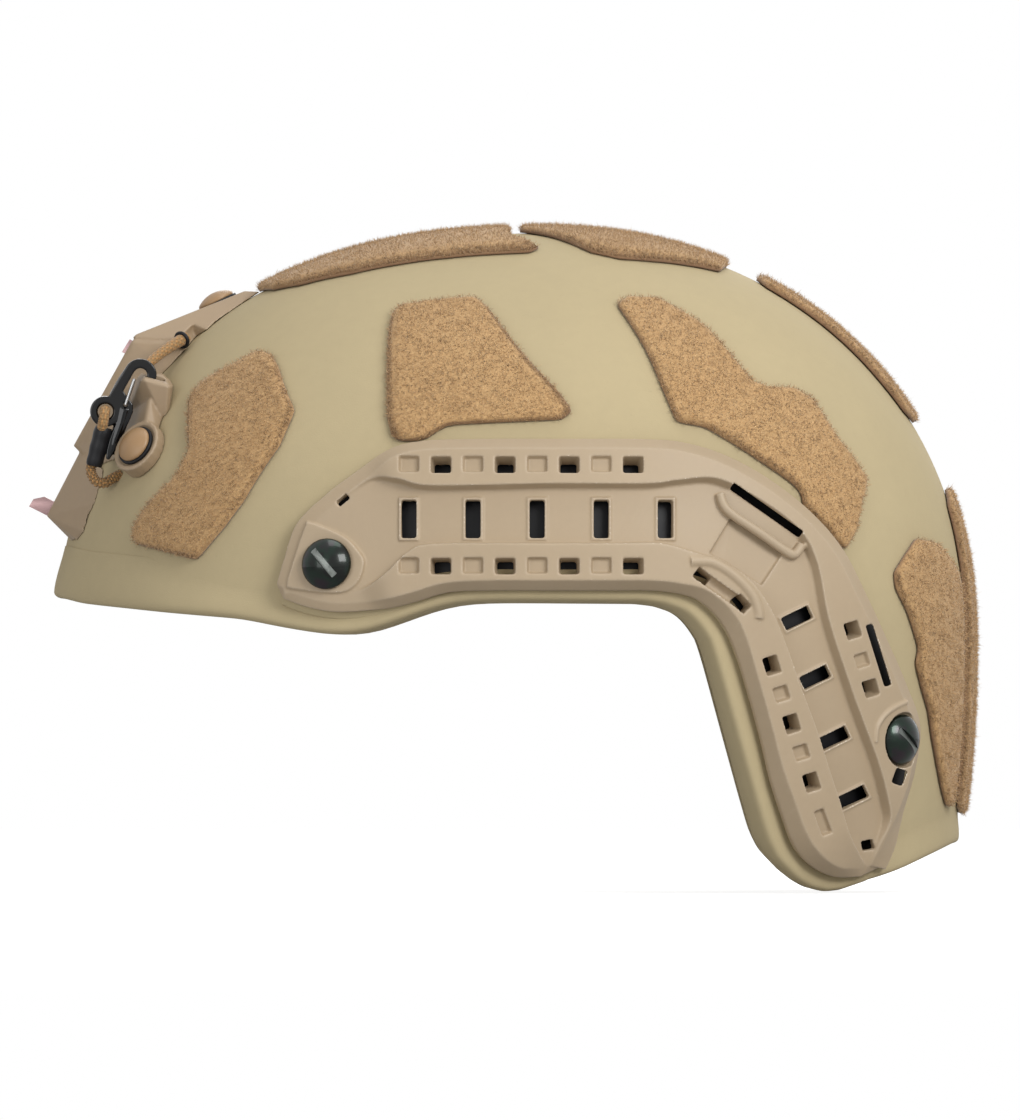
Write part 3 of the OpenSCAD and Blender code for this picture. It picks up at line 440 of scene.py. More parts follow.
def feed(tree, node, values):
    """Gives a node's inputs, named by label or number, a number, a colour or an output of another node."""
    for key, value in values.items():
        socket = node.inputs[key]
        if isinstance(value, (int, float)):
            socket.default_value = value
        elif isinstance(value, (tuple, list)):
            socket.default_value = (*value[:3], 1.0)
        elif value is not None:
            tree.links.new(value, socket)


def add_node(tree, kind, values=None, **settings):
    node = tree.nodes.new(f"ShaderNode{kind}")
    for key, value in settings.items():
        setattr(node, key, value)
    feed(tree, node, values or {})
    return node


def math_node(tree, operation, a, b=None, clamp=False):
    return add_node(tree, "Math", {0: a, 1: b}, operation=operation, use_clamp=clamp).outputs[0]


def times(tree, a, b):
    return math_node(tree, "MULTIPLY", a, b)


def noise_node(tree, vector, scale, detail, rough=0.55):
    values = {"Vector": vector, "Scale": scale, "Detail": detail, "Roughness": rough}
    return add_node(tree, "TexNoise", values).outputs["Fac"]


def mix_colour(tree, factor, a, b, blend="MIX"):
    return add_node(tree, "Mix", {0: factor, 6: a, 7: b}, data_type="RGBA", blend_type=blend).outputs[2]


def spread(tree, value, low, high, to_low=0.0, to_high=1.0):
    values = {"Value": value, "From Min": low, "From Max": high, "To Min": to_low, "To Max": to_high}
    return add_node(tree, "MapRange", values).outputs["Result"]


def object_place(tree):
    return add_node(tree, "TexCoord").outputs["Object"]


def marked(tree, label):
    """What a mesh has written on its vertices under this label."""
    return add_node(tree, "Attribute", attribute_name=label).outputs["Fac"]


def grain_group():
    """Fine grain and broad mottling of a surface."""
    if "Surface grain" in bpy.data.node_groups:
        return bpy.data.node_groups["Surface grain"]
    group, start, outlet = new_group(
        "Surface grain", [("Vector", "NodeSocketVector", None), ("Scale", "NodeSocketFloat", 2500.0)],
        [("Height", "NodeSocketFloat"), ("Mottle", "NodeSocketFloat"), ("Speck", "NodeSocketFloat")])
    vector, scale = start.outputs["Vector"], start.outputs["Scale"]
    broad = noise_node(group, vector, 28.0, 4.0, 0.6)
    middle = noise_node(group, vector, times(group, scale, 0.12), 3.0)
    mottle = math_node(group, "ADD", times(group, broad, 0.65), times(group, middle, 0.35))
    speck = noise_node(group, vector, times(group, scale, 0.45), 1.0)
    feed(group, outlet, {"Height": noise_node(group, vector, scale, 3.0),
                         "Mottle": spread(group, mottle, 0.32, 0.68),
                         "Speck": spread(group, speck, 0.7, 0.8)})
    return group


def wear_group():
    """Lighter colour along the edges that the mesh marks: an even painted highlight along every edge, with
    worn chips in it.
    """
    if "Edge wear" in bpy.data.node_groups:
        return bpy.data.node_groups["Edge wear"]
    group, start, outlet = new_group(
        "Edge wear",
        [("Vector", "NodeSocketVector", None), ("Colour", "NodeSocketColor", None),
         ("Worn", "NodeSocketColor", None), ("Edge", "NodeSocketFloat", 0.0),
         ("Amount", "NodeSocketFloat", 0.5)],
        [("Colour", "NodeSocketColor"), ("Mask", "NodeSocketFloat")])
    chips = noise_node(group, start.outputs["Vector"], 420.0, 4.0, 0.7)
    rubbed_and_lit = times(group, start.outputs["Edge"], start.outputs["Amount"])
    chipped = spread(group, math_node(group, "ADD", rubbed_and_lit, chips), 0.98, 1.16)
    mask = math_node(group, "ADD", times(group, rubbed_and_lit, 0.35), chipped, clamp=True)
    colour = mix_colour(group, mask, start.outputs["Colour"], start.outputs["Worn"])
    feed(group, outlet, {"Colour": colour, "Mask": mask})
    return group


def braid_group():
    """Crossing strands of a braided cord, from a UV map that counts turns and millimetres; Height is low in
    the grooves and Shade alternates from crossing to crossing, and the cord's finish turns both into painted
    shade and highlight.
    """
    if "Braid" in bpy.data.node_groups:
        return bpy.data.node_groups["Braid"]
    group, start, outlet = new_group(
        "Braid", [("UV", "NodeSocketVector", None), ("Strands", "NodeSocketFloat", 8.0),
                  ("Pitch", "NodeSocketFloat", 3.0)],
        [("Height", "NodeSocketFloat"), ("Shade", "NodeSocketFloat")])
    parts = add_node(group, "SeparateXYZ", {0: start.outputs["UV"]})
    around = times(group, parts.outputs[0], start.outputs["Strands"])
    along = math_node(group, "DIVIDE", parts.outputs[1], start.outputs["Pitch"])
    waves = [math_node(group, "SINE", times(group, math_node(group, way, around, along), 2 * math.pi))
             for way in ("ADD", "SUBTRACT")]
    feed(group, outlet, {"Height": spread(group, math_node(group, "MAXIMUM", *waves), -0.6, 1.0),
                         "Shade": spread(group, times(group, *waves), -1.0, 1.0)})
    return group


def placed_group(tree, group, **values):
    return add_node(tree, "Group", values, node_tree=group).outputs


def blank(name):
    material = bpy.data.materials.new(name)
    material.use_nodes = True
    tree = material.node_tree
    return material, tree, tree.nodes["Principled BSDF"]


def bump(tree, height, depth):
    """A bump of this depth in mm."""
    values = {"Strength": 1.0, "Distance": depth * MM, "Height": height}
    return add_node(tree, "Bump", values).outputs["Normal"]


def shade(colour, *factors):
    """A colour made darker or lighter by one factor, or by one for each channel."""
    return tuple(np.minimum(1.0, np.multiply(colour[:3], factors)))


def finish(name, colour, rough=0.6, grain=2500.0, depth=0.03, mottle=0.08, metallic=0.0, wear=0.0,
           worn=None, specular=0.5, sheen=0.0):
    """Moulded, painted or metal finish with grain, mottling and, where the mesh marks edges, worn chips and a
    painted highlight.
    """
    if name in bpy.data.materials:
        return bpy.data.materials[name]
    material, tree, shader = blank(name)
    place = object_place(tree)
    texture = placed_group(tree, grain_group(), Vector=place, Scale=grain)
    tone = mix_colour(tree, texture["Mottle"], shade(colour, 1 - mottle), shade(colour, 1 + mottle))
    tone = mix_colour(tree, times(tree, texture["Speck"], mottle * 3), tone, shade(colour, 0.55))
    if wear:
        tone = placed_group(tree, wear_group(), Vector=place, Colour=tone, Worn=worn,
                            Edge=marked(tree, "edge"), Amount=wear)["Colour"]
    feed(tree, shader, {
        "Base Color": tone, "Metallic": metallic, "Specular IOR Level": specular, "Sheen Weight": sheen,
        "Roughness": spread(tree, texture["Mottle"], 0.0, 1.0, rough - 0.05, min(rough + 0.06, 1.0)),
        "Normal": bump(tree, texture["Height"], depth)})
    return material


def pile_finish(colour):
    """Fibres darker at the root, painted shade deep in the pile, each with a tone of its own and a few
    painted glints; the backing's rim is darkest, also painted shade.
    """
    material, tree, shader = blank("Pile")
    place = object_place(tree)
    texture = placed_group(tree, grain_group(), Vector=place, Scale=2600.0)
    light = mix_colour(tree, marked(tree, "tone"), shade(colour, 0.68), shade(colour, 1.6))
    speckle = spread(tree, noise_node(tree, place, 1900.0, 2.0, 0.6), 0.36, 0.64)
    glint = spread(tree, noise_node(tree, place, 2400.0, 1.0), 0.6, 0.72)
    for mask, strength, tone in ((speckle, 0.6, shade(colour, 0.66, 0.52, 0.42)),
                                 (glint, 0.5, shade(colour, 1.75)),
                                 (texture["Mottle"], 0.35, shade(colour, 0.8, 0.72, 0.64))):
        light = mix_colour(tree, times(tree, mask, strength), light, tone)
    # Painted shade: the low parts of fibres and backing take the dark root colour.
    feed(tree, shader, {
        "Base Color": mix_colour(tree, marked(tree, "height"), PILE_ROOT_SHADE, light), "Roughness": 0.9,
        "Specular IOR Level": 0.2, "Sheen Weight": 0.25, "Normal": bump(tree, texture["Height"], 0.12)})
    return material


def cord_finish(name, colour, strands, pitch, contrast):
    material, tree, shader = blank(name)
    place = add_node(tree, "TexCoord").outputs["UV"]
    weave = placed_group(tree, braid_group(), UV=place, Strands=strands, Pitch=pitch)
    # Painted shade and highlight: darkest in the grooves between strands and ribs, crossings lighter and
    # darker in turn.
    dark, light = shade(colour, 1 - contrast), shade(colour, 1 + contrast)
    tone = mix_colour(tree, weave["Shade"], dark, light)
    tone = mix_colour(tree, times(tree, weave["Height"], 0.6), tone, light, "MULTIPLY")
    feed(tree, shader, {"Base Color": mix_colour(tree, weave["Height"], dark, tone), "Roughness": 0.75,
                        "Sheen Weight": 0.15, "Normal": bump(tree, weave["Height"], 0.18)})
    return material


def bolt_gloss(colour):
    """Dark glazed metal with a faint green and violet bloom."""
    material, tree, shader = blank("Rail_bolt")
    bloom = noise_node(tree, object_place(tree), 160.0, 2.0)
    tone = mix_colour(tree, spread(tree, bloom, 0.35, 0.5), shade(colour, 0.8), shade(colour, 1.0, 1.75, 1.4))
    tone = mix_colour(tree, spread(tree, bloom, 0.52, 0.68), tone, shade(colour, 2.1, 1.2, 1.9))
    feed(tree, shader, {"Base Color": tone, "Roughness": 0.27, "Metallic": 0.8, "Coat Weight": 0.35,
                        "Coat Roughness": 0.06})
    return material


def shell_paint():
    return finish("Helmet_paint", hue("shell"), rough=0.82, grain=2300.0, depth=0.05, mottle=0.035,
                  specular=0.3)


def rail_polymer():
    # Its lighter edges are worn chips and a painted highlight.
    return finish("Rail_polymer", hue("rail"), rough=0.52, grain=3800.0, depth=0.012, mottle=0.03,
                  wear=0.6, worn=paint("#E2D8C8"), specular=0.4)


def shroud_polymer():
    # Its lighter edges are worn chips and a painted highlight.
    return finish("Shroud_polymer", hue("shroud"), rough=0.5, grain=3800.0, depth=0.012, mottle=0.05,
                  wear=0.5, worn=paint("#D2C4AE"), specular=0.45)


# Black rubber of the sleeves, grommets and washers; the sheet of painted shade under the rails takes it too.
def black_rubber():
    return finish("Black_rubber", paint("#111114"), rough=0.5, grain=3000.0, depth=0.02, mottle=0.1,
                  specular=0.3)


# Stage
AMBIENT = 0.42
VIEW_HEIGHT, VIEW_CENTRE, VIEW_PLANE = 336.0, (-9.0, 12.0), -55.0
SENSOR, LENS = 36.0, 1400.0
FLOOR_SIZE, FLOOR_GLOW = 6.0, 0.86
LAMPS = (("Key", (0.85, -1.2, 0.78), 0.7, 18.5), ("Fill", (-0.95, -1.35, 0.15), 1.0, 8.5),
         ("Top", (0.15, 0.0, 1.5), 0.9, 7.0), ("Back", (0.3, 1.4, 0.7), 1.1, 8.0))


class HELMET_OT_stage(bpy.types.Operator):
    """Adds the camera of the photograph, a pale floor and soft studio light"""
    bl_idname = "helmet.stage"
    bl_label = "Stage"

    def execute(self, context):
        self.camera(context.scene)
        self.floor()
        self.light(context.scene)
        return {"FINISHED"}

    def camera(self, scene):
        camera = new_object("Camera", bpy.data.cameras.new("Camera"))
        camera.data.lens = LENS
        camera.data.sensor_width = SENSOR
        distance = LENS * (VIEW_HEIGHT * MM) / SENSOR
        camera.location = (VIEW_CENTRE[0] * MM, VIEW_PLANE * MM - distance, VIEW_CENTRE[1] * MM)
        camera.rotation_euler = (math.radians(90), 0, 0)
        camera.data.clip_start, camera.data.clip_end = 1.0, 100.0
        scene.camera = camera
        scene.view_settings.view_transform = "Standard"

    def floor(self):
        """A floor that glows a little for the camera and isn't seen from below."""
        pick()
        bpy.ops.mesh.primitive_plane_add(size=1.0)
        floor = named(bpy.context.object, "Floor")
        floor.data.transform(Matrix.Translation((0, 0, cad_box[0].z - 0.0005)) @ Matrix.Scale(FLOOR_SIZE, 4))
        material, tree, shader = blank("Floor")
        feed(tree, shader, {"Base Color": (0.5, 0.5, 0.5), "Roughness": 1.0, "Specular IOR Level": 0.0})
        path = add_node(tree, "LightPath").outputs
        glow = add_node(tree, "Emission", {"Strength": times(tree, path["Is Camera Ray"], FLOOR_GLOW)})
        both = add_node(tree, "AddShader", {0: shader.outputs[0], 1: glow.outputs[0]})
        below = add_node(tree, "NewGeometry").outputs["Backfacing"]
        clear = add_node(tree, "BsdfTransparent").outputs[0]
        mixed = add_node(tree, "MixShader", {0: below, 1: both.outputs[0], 2: clear})
        feed(tree, tree.nodes["Material Output"], {"Surface": mixed.outputs[0]})
        dress(floor, material)

    def light(self, scene):
        """A white world that lights less than it shows, and four soft lamps."""
        world = bpy.data.worlds.new("Studio")
        scene.world = world
        world.use_nodes = True
        tree = world.node_tree
        path = add_node(tree, "LightPath").outputs
        seen = math_node(tree, "ADD", path["Is Camera Ray"], path["Is Transmission Ray"], clamp=True)
        seen = math_node(tree, "MAXIMUM", seen, times(tree, path["Is Glossy Ray"], 0.8))
        strength = math_node(tree, "ADD", times(tree, seen, 1 - AMBIENT), AMBIENT)
        feed(tree, tree.nodes["Background"], {"Color": (1, 1, 1), "Strength": strength})
        for name, place, size, power in LAMPS:
            lamp = new_object(name, bpy.data.lights.new(name, "AREA"))
            lamp.data.size = size
            lamp.data.energy = power
            lamp.location = place
            lamp.rotation_euler = (-Vector(place)).to_track_quat("-Z", "Y").to_euler()


# Shell and edge band
def shell_bearings():
    """Bearings of the fine columns, closest where the ear cut is steep."""
    half = np.concatenate([np.arange(0, 38, 1.6), np.arange(38, 82, 0.4), np.arange(82, 180, 1.6)])
    return np.radians(np.concatenate([half, 360 - half[::-1]]))


def cut_height(x):
    """Height of the shell's lower edge, which stands in from the drawn line by the band's inset."""
    heights = [np.interp(x + d * INSET, *EDGE_LINE.T) + INSET * math.sqrt(max(1 - d * d, 0))
               for d in np.arange(-1, 1.01, 0.25)]
    return np.max(heights, axis=0)


def edge_lifts(bearings):
    """Elevation at which each column of the shell meets the lower edge."""
    low, high = np.full_like(bearings, math.radians(-60)), np.full_like(bearings, math.radians(60))
    for _ in range(26):
        middle = (low + high) / 2
        p = skin_point(bearings, middle)
        above = p[:, 2] > cut_height(p[:, 0])
        high = np.where(above, middle, high)
        low = np.where(above, low, middle)
    lifts = (low + high) / 2
    for _ in range(3):
        lifts = (np.roll(lifts, 1) + 2 * lifts + np.roll(lifts, -1)) / 4
    return lifts


RAIL_SPOTS = ((-62.0, 10.0), (103.3, -41.5))
SHROUD_SIDE_WAY = unit(np.array([-0.62, -0.62, 0.47]))
SHROUD_TOP_WAY = unit(np.array([-0.45, 0.0, 0.89]))
SHROUD_SIDE_FOOT = end(np.array(-48.8), np.array(44.1), -1)
SHROUD_TOP_FOOT = crown(np.array(-95.4), np.array(0.0))
BOLT_HOLE_R, HOLE_LOW, HOLE_HIGH = 3.95, -16, 8
SHELL_ROWS = 52
BAND_SHARES = (0.0, 0.08, 0.2, 0.35, 0.5, 0.65, 0.8, 0.9)
BAND_FOLD = ((0.05, 0.1), (0.3, -0.5), (0.75, -0.95), (1.4, -1.3), (2.3, -INSET))


def bolt_places():
    """Foot and direction of each bolt of the left side and the middle."""
    feet = [side(p) for p in RAIL_SPOTS]
    return [*((f, normal(f)) for f in feet), (SHROUD_SIDE_FOOT, SHROUD_SIDE_WAY),
            (SHROUD_TOP_FOOT, SHROUD_TOP_WAY)]


def stood(piece, foot, way):
    """Moves a piece that was made upright at the origin to a foot in mm, with its +Z along way."""
    z = Vector(way).normalized()
    lean = math.acos(max(-1.0, min(1.0, z.z)))
    piece.data.transform(Matrix.Translation(Vector(foot) * MM)
                         @ Matrix.Rotation(math.atan2(z.y, z.x), 4, "Z") @ Matrix.Rotation(lean, 4, "Y"))
    return piece


def upright_cylinder(name, radius, low, high, sides=48):
    pick()
    bpy.ops.mesh.primitive_cylinder_add(vertices=sides, radius=radius * MM, depth=(high - low) * MM)
    piece = named(bpy.context.object, name)
    piece.data.transform(Matrix.Translation((0, 0, (low + high) / 2 * MM)))
    return piece


class HELMET_OT_shell(bpy.types.Operator):
    """Models the shell and its folded edge band as smooth skins"""
    bl_idname = "helmet.shell"
    bl_label = "Shell and edge band"

    def execute(self, context):
        bearings = shell_bearings()
        lifts = edge_lifts(bearings)
        share = np.linspace(0.02, 1, SHELL_ROWS)[:, None]
        angle = math.pi / 2 + (lifts - math.pi / 2)[None, :] * share
        outer, inner = (skin_point(np.broadcast_to(bearings, angle.shape), angle, off)
                        for off in (0.0, -WALL))
        shell = loft("helmet_skin", np.concatenate([outer, inner[::-1]], 0))
        holes = []
        for foot, way in bolt_places():
            for mirror in (LEFT, RIGHT) if abs(foot[1]) > 1 else (LEFT,):
                hole = upright_cylinder("hole", BOLT_HOLE_R, HOLE_LOW, HOLE_HIGH, 40)
                holes.append(stood(hole, foot * mirror, way * mirror))
        combine(shell, joined("holes", holes), "DIFFERENCE")
        smooth(shell, 35)
        seat(shell, shell_paint(), "shell")
        self.band(bearings, lifts)
        return {"FINISHED"}

    def band(self, bearings, lifts):
        """A closed ring of sections: the outer leg, the fold below the edge and the inner leg."""
        edge, under = skin_point(bearings, lifts), skin_point(bearings, lifts, -WALL)
        out = normal(edge)
        along = unit(np.roll(edge, -1, 0) - np.roll(edge, 1, 0))
        up = np.cross(out, along)
        leg, tall, step = (np.interp(edge[:, 0], *line.T) for line in (LEG_LINE, BAND_TALL, BAND_STEP))
        lean = 0.12 * leg

        def at(base, across, height):
            across, height = (np.broadcast_to(v, leg.shape)[:, None] for v in (across, height))
            return base + out * across + up * height
        ring = [on_skin(at(edge, 0, tall), -0.1)]
        for share in BAND_SHARES:
            ease = share * share * (3 - 2 * share)
            ring.append(on_skin(at(edge, 0, tall * (1 - share)), step + (INSET - step) * ease + 0.01))
        ring += [at(edge, INSET - across, down) for across, down in BAND_FOLD]
        ring += [at(edge, -WALL / 2, -(INSET + 0.1)), at(under, -(INSET - 1.1), -INSET),
                 at(under, -(INSET - 0.4), -1.1), at(under, -INSET, -0.3), at(under, -(INSET + lean), leg),
                 at(under, -(GAP + lean), leg), at(under, -GAP, -GAP), at(edge, GAP, -GAP),
                 on_skin(at(edge, 0, tall * 0.5), GAP * 0.5)]
        band = smooth(loft("edge_band", np.stack(ring, 1), wrap=True), 60)
        seat(band, shell_paint(), "edge_trim")


# Side rails
RAIL_ROWS = np.array([
    [[-79, 5], [-78, 4], [-77.5, 2.5], [-77, 0.5]], [[-77, 12], [-74, 11], [-71, 2.5], [-70, -2]],
    [[-73, 23], [-69.5, 21.5], [-63, 1], [-61.5, -3.5]], [[-64, 32], [-62, 29.5], [-54.5, 3], [-51.5, -3]],
    [[-54, 39.5], [-51.5, 37], [-47, 7.5], [-43.5, -2]], [[-45, 45.5], [-43, 36.5], [-39.5, 14.5], [-36, 0]],
    [[-34.5, 48], [-34.5, 34.5], [-33.2, 16.7], [-27, 2.5]], [[-15, 48.5], [-15, 34.6], [-15, 17], [-14, 3]],
    [[4, 48.5], [4, 35], [4, 17], [4, 3]], [[32.6, 48.4], [32.4, 35], [23, 17], [22.6, 3]],
    [[45, 47], [41, 36], [36, 17], [33, 3]], [[57, 43], [53, 36.5], [45.5, 14.5], [42, 2]],
    [[69.5, 36], [65.5, 30.5], [54.5, 11.5], [48.5, -0.5]],
    [[81.5, 26.5], [77.5, 21.5], [62.5, 6.5], [54.5, -6.5]],
    [[91, 15.5], [83, 11.5], [68.5, -1.5], [58.5, -14.5]], [[98, 2], [86.5, -5.5], [73, -11.5], [62.5, -27]],
    [[104.5, -12], [92.5, -24], [78, -25.5], [66.5, -41.5]],
    [[110, -24.5], [97, -36.5], [83, -39], [69.5, -54]],
    [[114.5, -37.5], [101.5, -48.5], [87, -51.5], [73, -64.5]],
    [[113, -51], [104.5, -59.5], [90, -60.5], [76.5, -73.5]],
    [[109.5, -63.5], [105.5, -66.5], [92.5, -69], [81.5, -79.5]],
    [[107, -74], [103, -74.5], [96, -75], [88.5, -83]],
    [[104, -81], [101.5, -80], [99.5, -80], [96.5, -83]]], float)
FLANGE_RISE = np.array([[0, 0]] * 3 + [[0, 0.1], [0.3, 0.9]] + [[1, 1]] * 15
                       + [[0.8, 1], [0.3, 0.6], [0, 0]], float)
RAIL_FLOOR, RAIL_TOP, RAIL_BEVEL, RAIL_BASE, RAIL_WALL, EDGE_REF = 5.0, 8.2, 3.0, 1.9, 4.0, 4.5
BACK_LIFT = np.array([[8.4, 1.55], [9.4, 0.25], [13.3, 0.25], [14.1, 1.55]])
INNER_BEVEL = np.array([[0, 3], [11, 3], [13.5, 5], [19, 5], [22, 3]])
FLOOR_DROP, WALL_SLOPE, SLOPE_SHARE = 0.4, 0.65, 0.35
THROUGH, ABOVE, RAIL_DEEP = 0.2, 10.2, 14.0
RECESS, RECESS_FLOOR = [[57.8, 25.6], [73.2, 14.6], [66.5, 4.6], [60.5, 8.4], [55.5, 11.8], [50.8, 14]], 3.2
FIRST_SLOT, SLOT_PITCH = -39.3, 19.2
# Run, lift and margins of the black sheet of painted shade on the shell under the rail.
SHADE_SHEET_LOW, SHADE_SHEET_HIGH, SHADE_SHEET_RUN = 0.02, 0.18, slice(7, -5)
SHADE_SHEET_MARGIN = np.array([[14.6, 3.6], [15.2, 1.4], [16.2, 1.4], [17, 3.4]])
BOSS_FOOT = [[-77.2, 4.4], [-75.8, 9.8], [-73.6, 17], [-71.2, 23], [-69, 24.2], [-58.2, 19.6], [-53.4, 14.8],
             [-51.8, 11], [-54, 4.5], [-60, 1.4], [-74.5, 2.6]]
BOSS_TOP = [[-75.2, 4.9], [-73.8, 10.2], [-71.7, 16.8], [-69.8, 21.9], [-68.4, 22.9],
            [-58.7, 18.8], [-54.1, 14.2], [-52.7, 10.9], [-54.6, 5.3], [-60.2, 2.3], [-73.6, 3.5]]
LIP_LINE = np.array([[0, 2.2], [3, 2.2], [4, 1.5], [5.5, 0.3], [11, 0.3], [13, 1.3], [19, 1.3],
                     [20, 0], [22, -1.5]])


def toward(a, b, distance):
    """Points this far from a on the way to b."""
    length = np.maximum(np.linalg.norm(b - a, axis=-1, keepdims=True), 0.01)
    return a + (b - a) * np.minimum(1, np.asarray(distance).reshape(-1, 1) / length)


def rail_rings(stations):
    """Sections of the rail: outer wall, upper flange, groove, lower flange, inner wall and back."""
    g, f = curve(RAIL_ROWS, stations), np.maximum(curve(FLANGE_RISE, stations), 0)
    upper, lower = (RAIL_FLOOR + (RAIL_TOP - RAIL_FLOOR) * f).T
    sunk = RAIL_FLOOR - FLOOR_DROP * f.mean(axis=1)
    a, b, c, d = (g[:, k] for k in range(4))
    slope = np.minimum(WALL_SLOPE, SLOPE_SHARE * np.linalg.norm(c - b, axis=1))
    inner_bevel = np.interp(stations, *INNER_BEVEL.T)
    back = RAIL_BASE + np.interp(stations, *BACK_LIFT.T)
    ring = ((a, RAIL_BASE, EDGE_REF), (a, RAIL_WALL, EDGE_REF), (toward(a, b, RAIL_BEVEL), upper, RAIL_TOP),
            (b, upper, RAIL_TOP), (toward(b, c, slope), sunk, RAIL_TOP),
            (toward(c, b, slope), sunk, RAIL_TOP), (c, lower, RAIL_TOP),
            (toward(d, c, inner_bevel), lower, RAIL_TOP), (d, RAIL_WALL, EDGE_REF), (d, RAIL_BASE, EDGE_REF),
            ((b + c) / 2, back, RAIL_BASE))
    return np.stack([side(*corner) for corner in ring], 1)


def block(centre, size, angle, low, high, ref, draft=0.0, straight=0.0):
    """A cube primitive laid on the side of the helmet, wider at its top by draft on each side.

    With `straight`, it runs that deep along Y, as the mould draws a slot, and not square to the skin.
    """
    pick()
    bpy.ops.mesh.primitive_cube_add(size=2)
    piece = bpy.context.object
    c, s = math.cos(math.radians(angle)), math.sin(math.radians(angle))
    for vertex in piece.data.vertices:
        sx, sy, sz = (math.copysign(1, v) for v in vertex.co)
        grow = draft if sz > 0 else 0.0
        x, y = sx * (size[0] / 2 + grow), sy * (size[1] / 2 + grow)
        spot = np.array([centre[0] + x * c - y * s, centre[1] + x * s + y * c])
        if straight:
            level = side(spot, ref, ref) + np.array([0, -2.5 if sz > 0 else straight, 0])
        else:
            level = side(spot, high if sz > 0 else low, ref)
        vertex.co = Vector(level) * MM
    return piece


def prism(points, low, high, ref, draft):
    """A block with this outline in side view, wider at its top by draft."""
    points = np.array(points, float)
    wide = points + unit(points - points.mean(axis=0)) * draft
    return loft("prism", np.stack([side(points, low, ref), side(wide, high, ref)]))


def flowing(points, per=6):
    """A closed smooth line through these points."""
    rows = np.array([points[-1], *points, points[0], points[1]], float)
    return curve(rows, 1 + np.arange(len(points) * per) / per)


def ridge(path, radius, height):
    """A round bar along a path in side view, its middle at this height."""
    return corded("ridge", side(path, height, RAIL_TOP), radius, step=0.5, sides=14)


def window(centre, size, angle, ref=RAIL_FLOOR):
    """A straight cut through the rail."""
    return block(centre, size, angle, THROUGH, ABOVE, ref)


def well(centre, size, angle, floor):
    """A pocket down to this floor, wider at its mouth."""
    return block(centre, size, angle, floor, ABOVE, RAIL_TOP, 1.1)


GROOVE_SLOTS = [((FIRST_SLOT + SLOT_PITCH * k, 24.3), (4.5, 11.4), 0.0) for k in range(5)] + [
    (p, (9, 4.2), 26.0) for p in ((77, -5.4), (82.5, -23.1), (88.2, -41.4), (93.9, -59.1))]


CORNER_GUTTER = [[46.6, 8.4], [50, 6.0], [54.6, 2.7], [59.2, -0.5], [62.0, -2.8]]
RIDGES = (
    ([[54.6, 32.6], [55.9, 28.8], [59, 25.8], [66.4, 20.9], [74.6, 15.2], [77.4, 14.2],
      [79.6, 17]], 1.45, 5.5),
    ([[45, 11.6], [48, 11.7], [51.6, 11.3], [56.1, 8.9], [60.6, 5.1], [63.9, 0.9], [65.4, -3.4],
      [65.4, -5.5]], 1.7, RAIL_TOP - 0.7),
    ([[110.2, -30.4], [107, -31.8], [103.6, -34.3], [101.2, -38], [100.6, -42.5]], 0.75, RAIL_TOP - 0.25))


def rail_pockets():
    """All that is cut from the rail: slots, pockets in both flanges, notches and bolt seats."""
    made = [window(*slot) for slot in GROOVE_SLOTS]
    for z in (40.6, 10.2):
        for k in range(4):
            x = FIRST_SLOT + SLOT_PITCH * k
            made += [well((x + SLOT_PITCH / 2, z), (4.4, 3.2), 0, THROUGH),
                     well((x, z + 0.2), (5.2, 4), 0, RAIL_TOP - 1.7)]
    for spots, size, angle, floor in (
            (((69.4, -19.5), (75.4, -37), (81.4, -54.5)), (2.8, 3.8), 17, THROUGH),
            (((72.3, -28), (78.3, -45.6)), (3.6, 3.6), 17, RAIL_TOP - 1.9),
            (((84.8, -66.5),), (2.4, 7), 20, RAIL_TOP - 1.6),
            (((93.8, -9), (99.3, -26.4)), (2.8, 3.4), 17, THROUGH),
            (((96.6, -18),), (3.4, 3.4), 17, RAIL_TOP - 1.8)):
        made += [well(spot, size, angle, floor) for spot in spots]
    made.append(window((-59, 30), (4, 1.9), 40))
    made += [block(*notch, 0, 0, RAIL_TOP, 0, RAIL_DEEP) for notch in (
        ((67.7, 26.9), (25.4, 2.4), -35), ((101.3, -16.5), (2.2, 19.3), 17.4),
        ((107.6, -53), (3.4, 4.8), -20))]
    made += [window((98.4, -73.5), (3.6, 3), 10), window((48.7, 7.1), (5.2, 3.4), -38, RAIL_TOP),
             window((60.4, -1.0), (5.0, 3.6), -48, RAIL_TOP), ridge(CORNER_GUTTER, 1.9, RAIL_TOP - 0.9)]
    for spot in RAIL_SPOTS:
        foot = side(spot)
        for name, *cut in (("way", 2.8, 0, 20, 32), ("head_room", 8.35, 6.2, 16, 64)):
            made.append(stood(upright_cylinder(name, *cut), foot, normal(foot)))
    return joined("rail_pockets", made)


def rail_adders():
    """All that stands up on the rail: rims round the slots, the front bolt's boss and three ridges."""
    made = []
    for slots, rim, lift, draft in ((GROOVE_SLOTS[:5], 1.8, 0.1, -0.25), (GROOVE_SLOTS[5:], 1.4, 0.05, -0.2)):
        made += [block(c, (size[0] + rim, size[1] + rim), angle, 3.5, RAIL_FLOOR + lift, RAIL_FLOOR, draft)
                 for c, size, angle in slots]
    made.append(loft("boss", np.stack([side(flowing(BOSS_FOOT), 3.2, RAIL_FLOOR),
                                       side(flowing(BOSS_TOP), RAIL_FLOOR + 0.95, RAIL_FLOOR)])))
    made += [ridge(*bar) for bar in RIDGES]
    return joined("rail_adders", made)


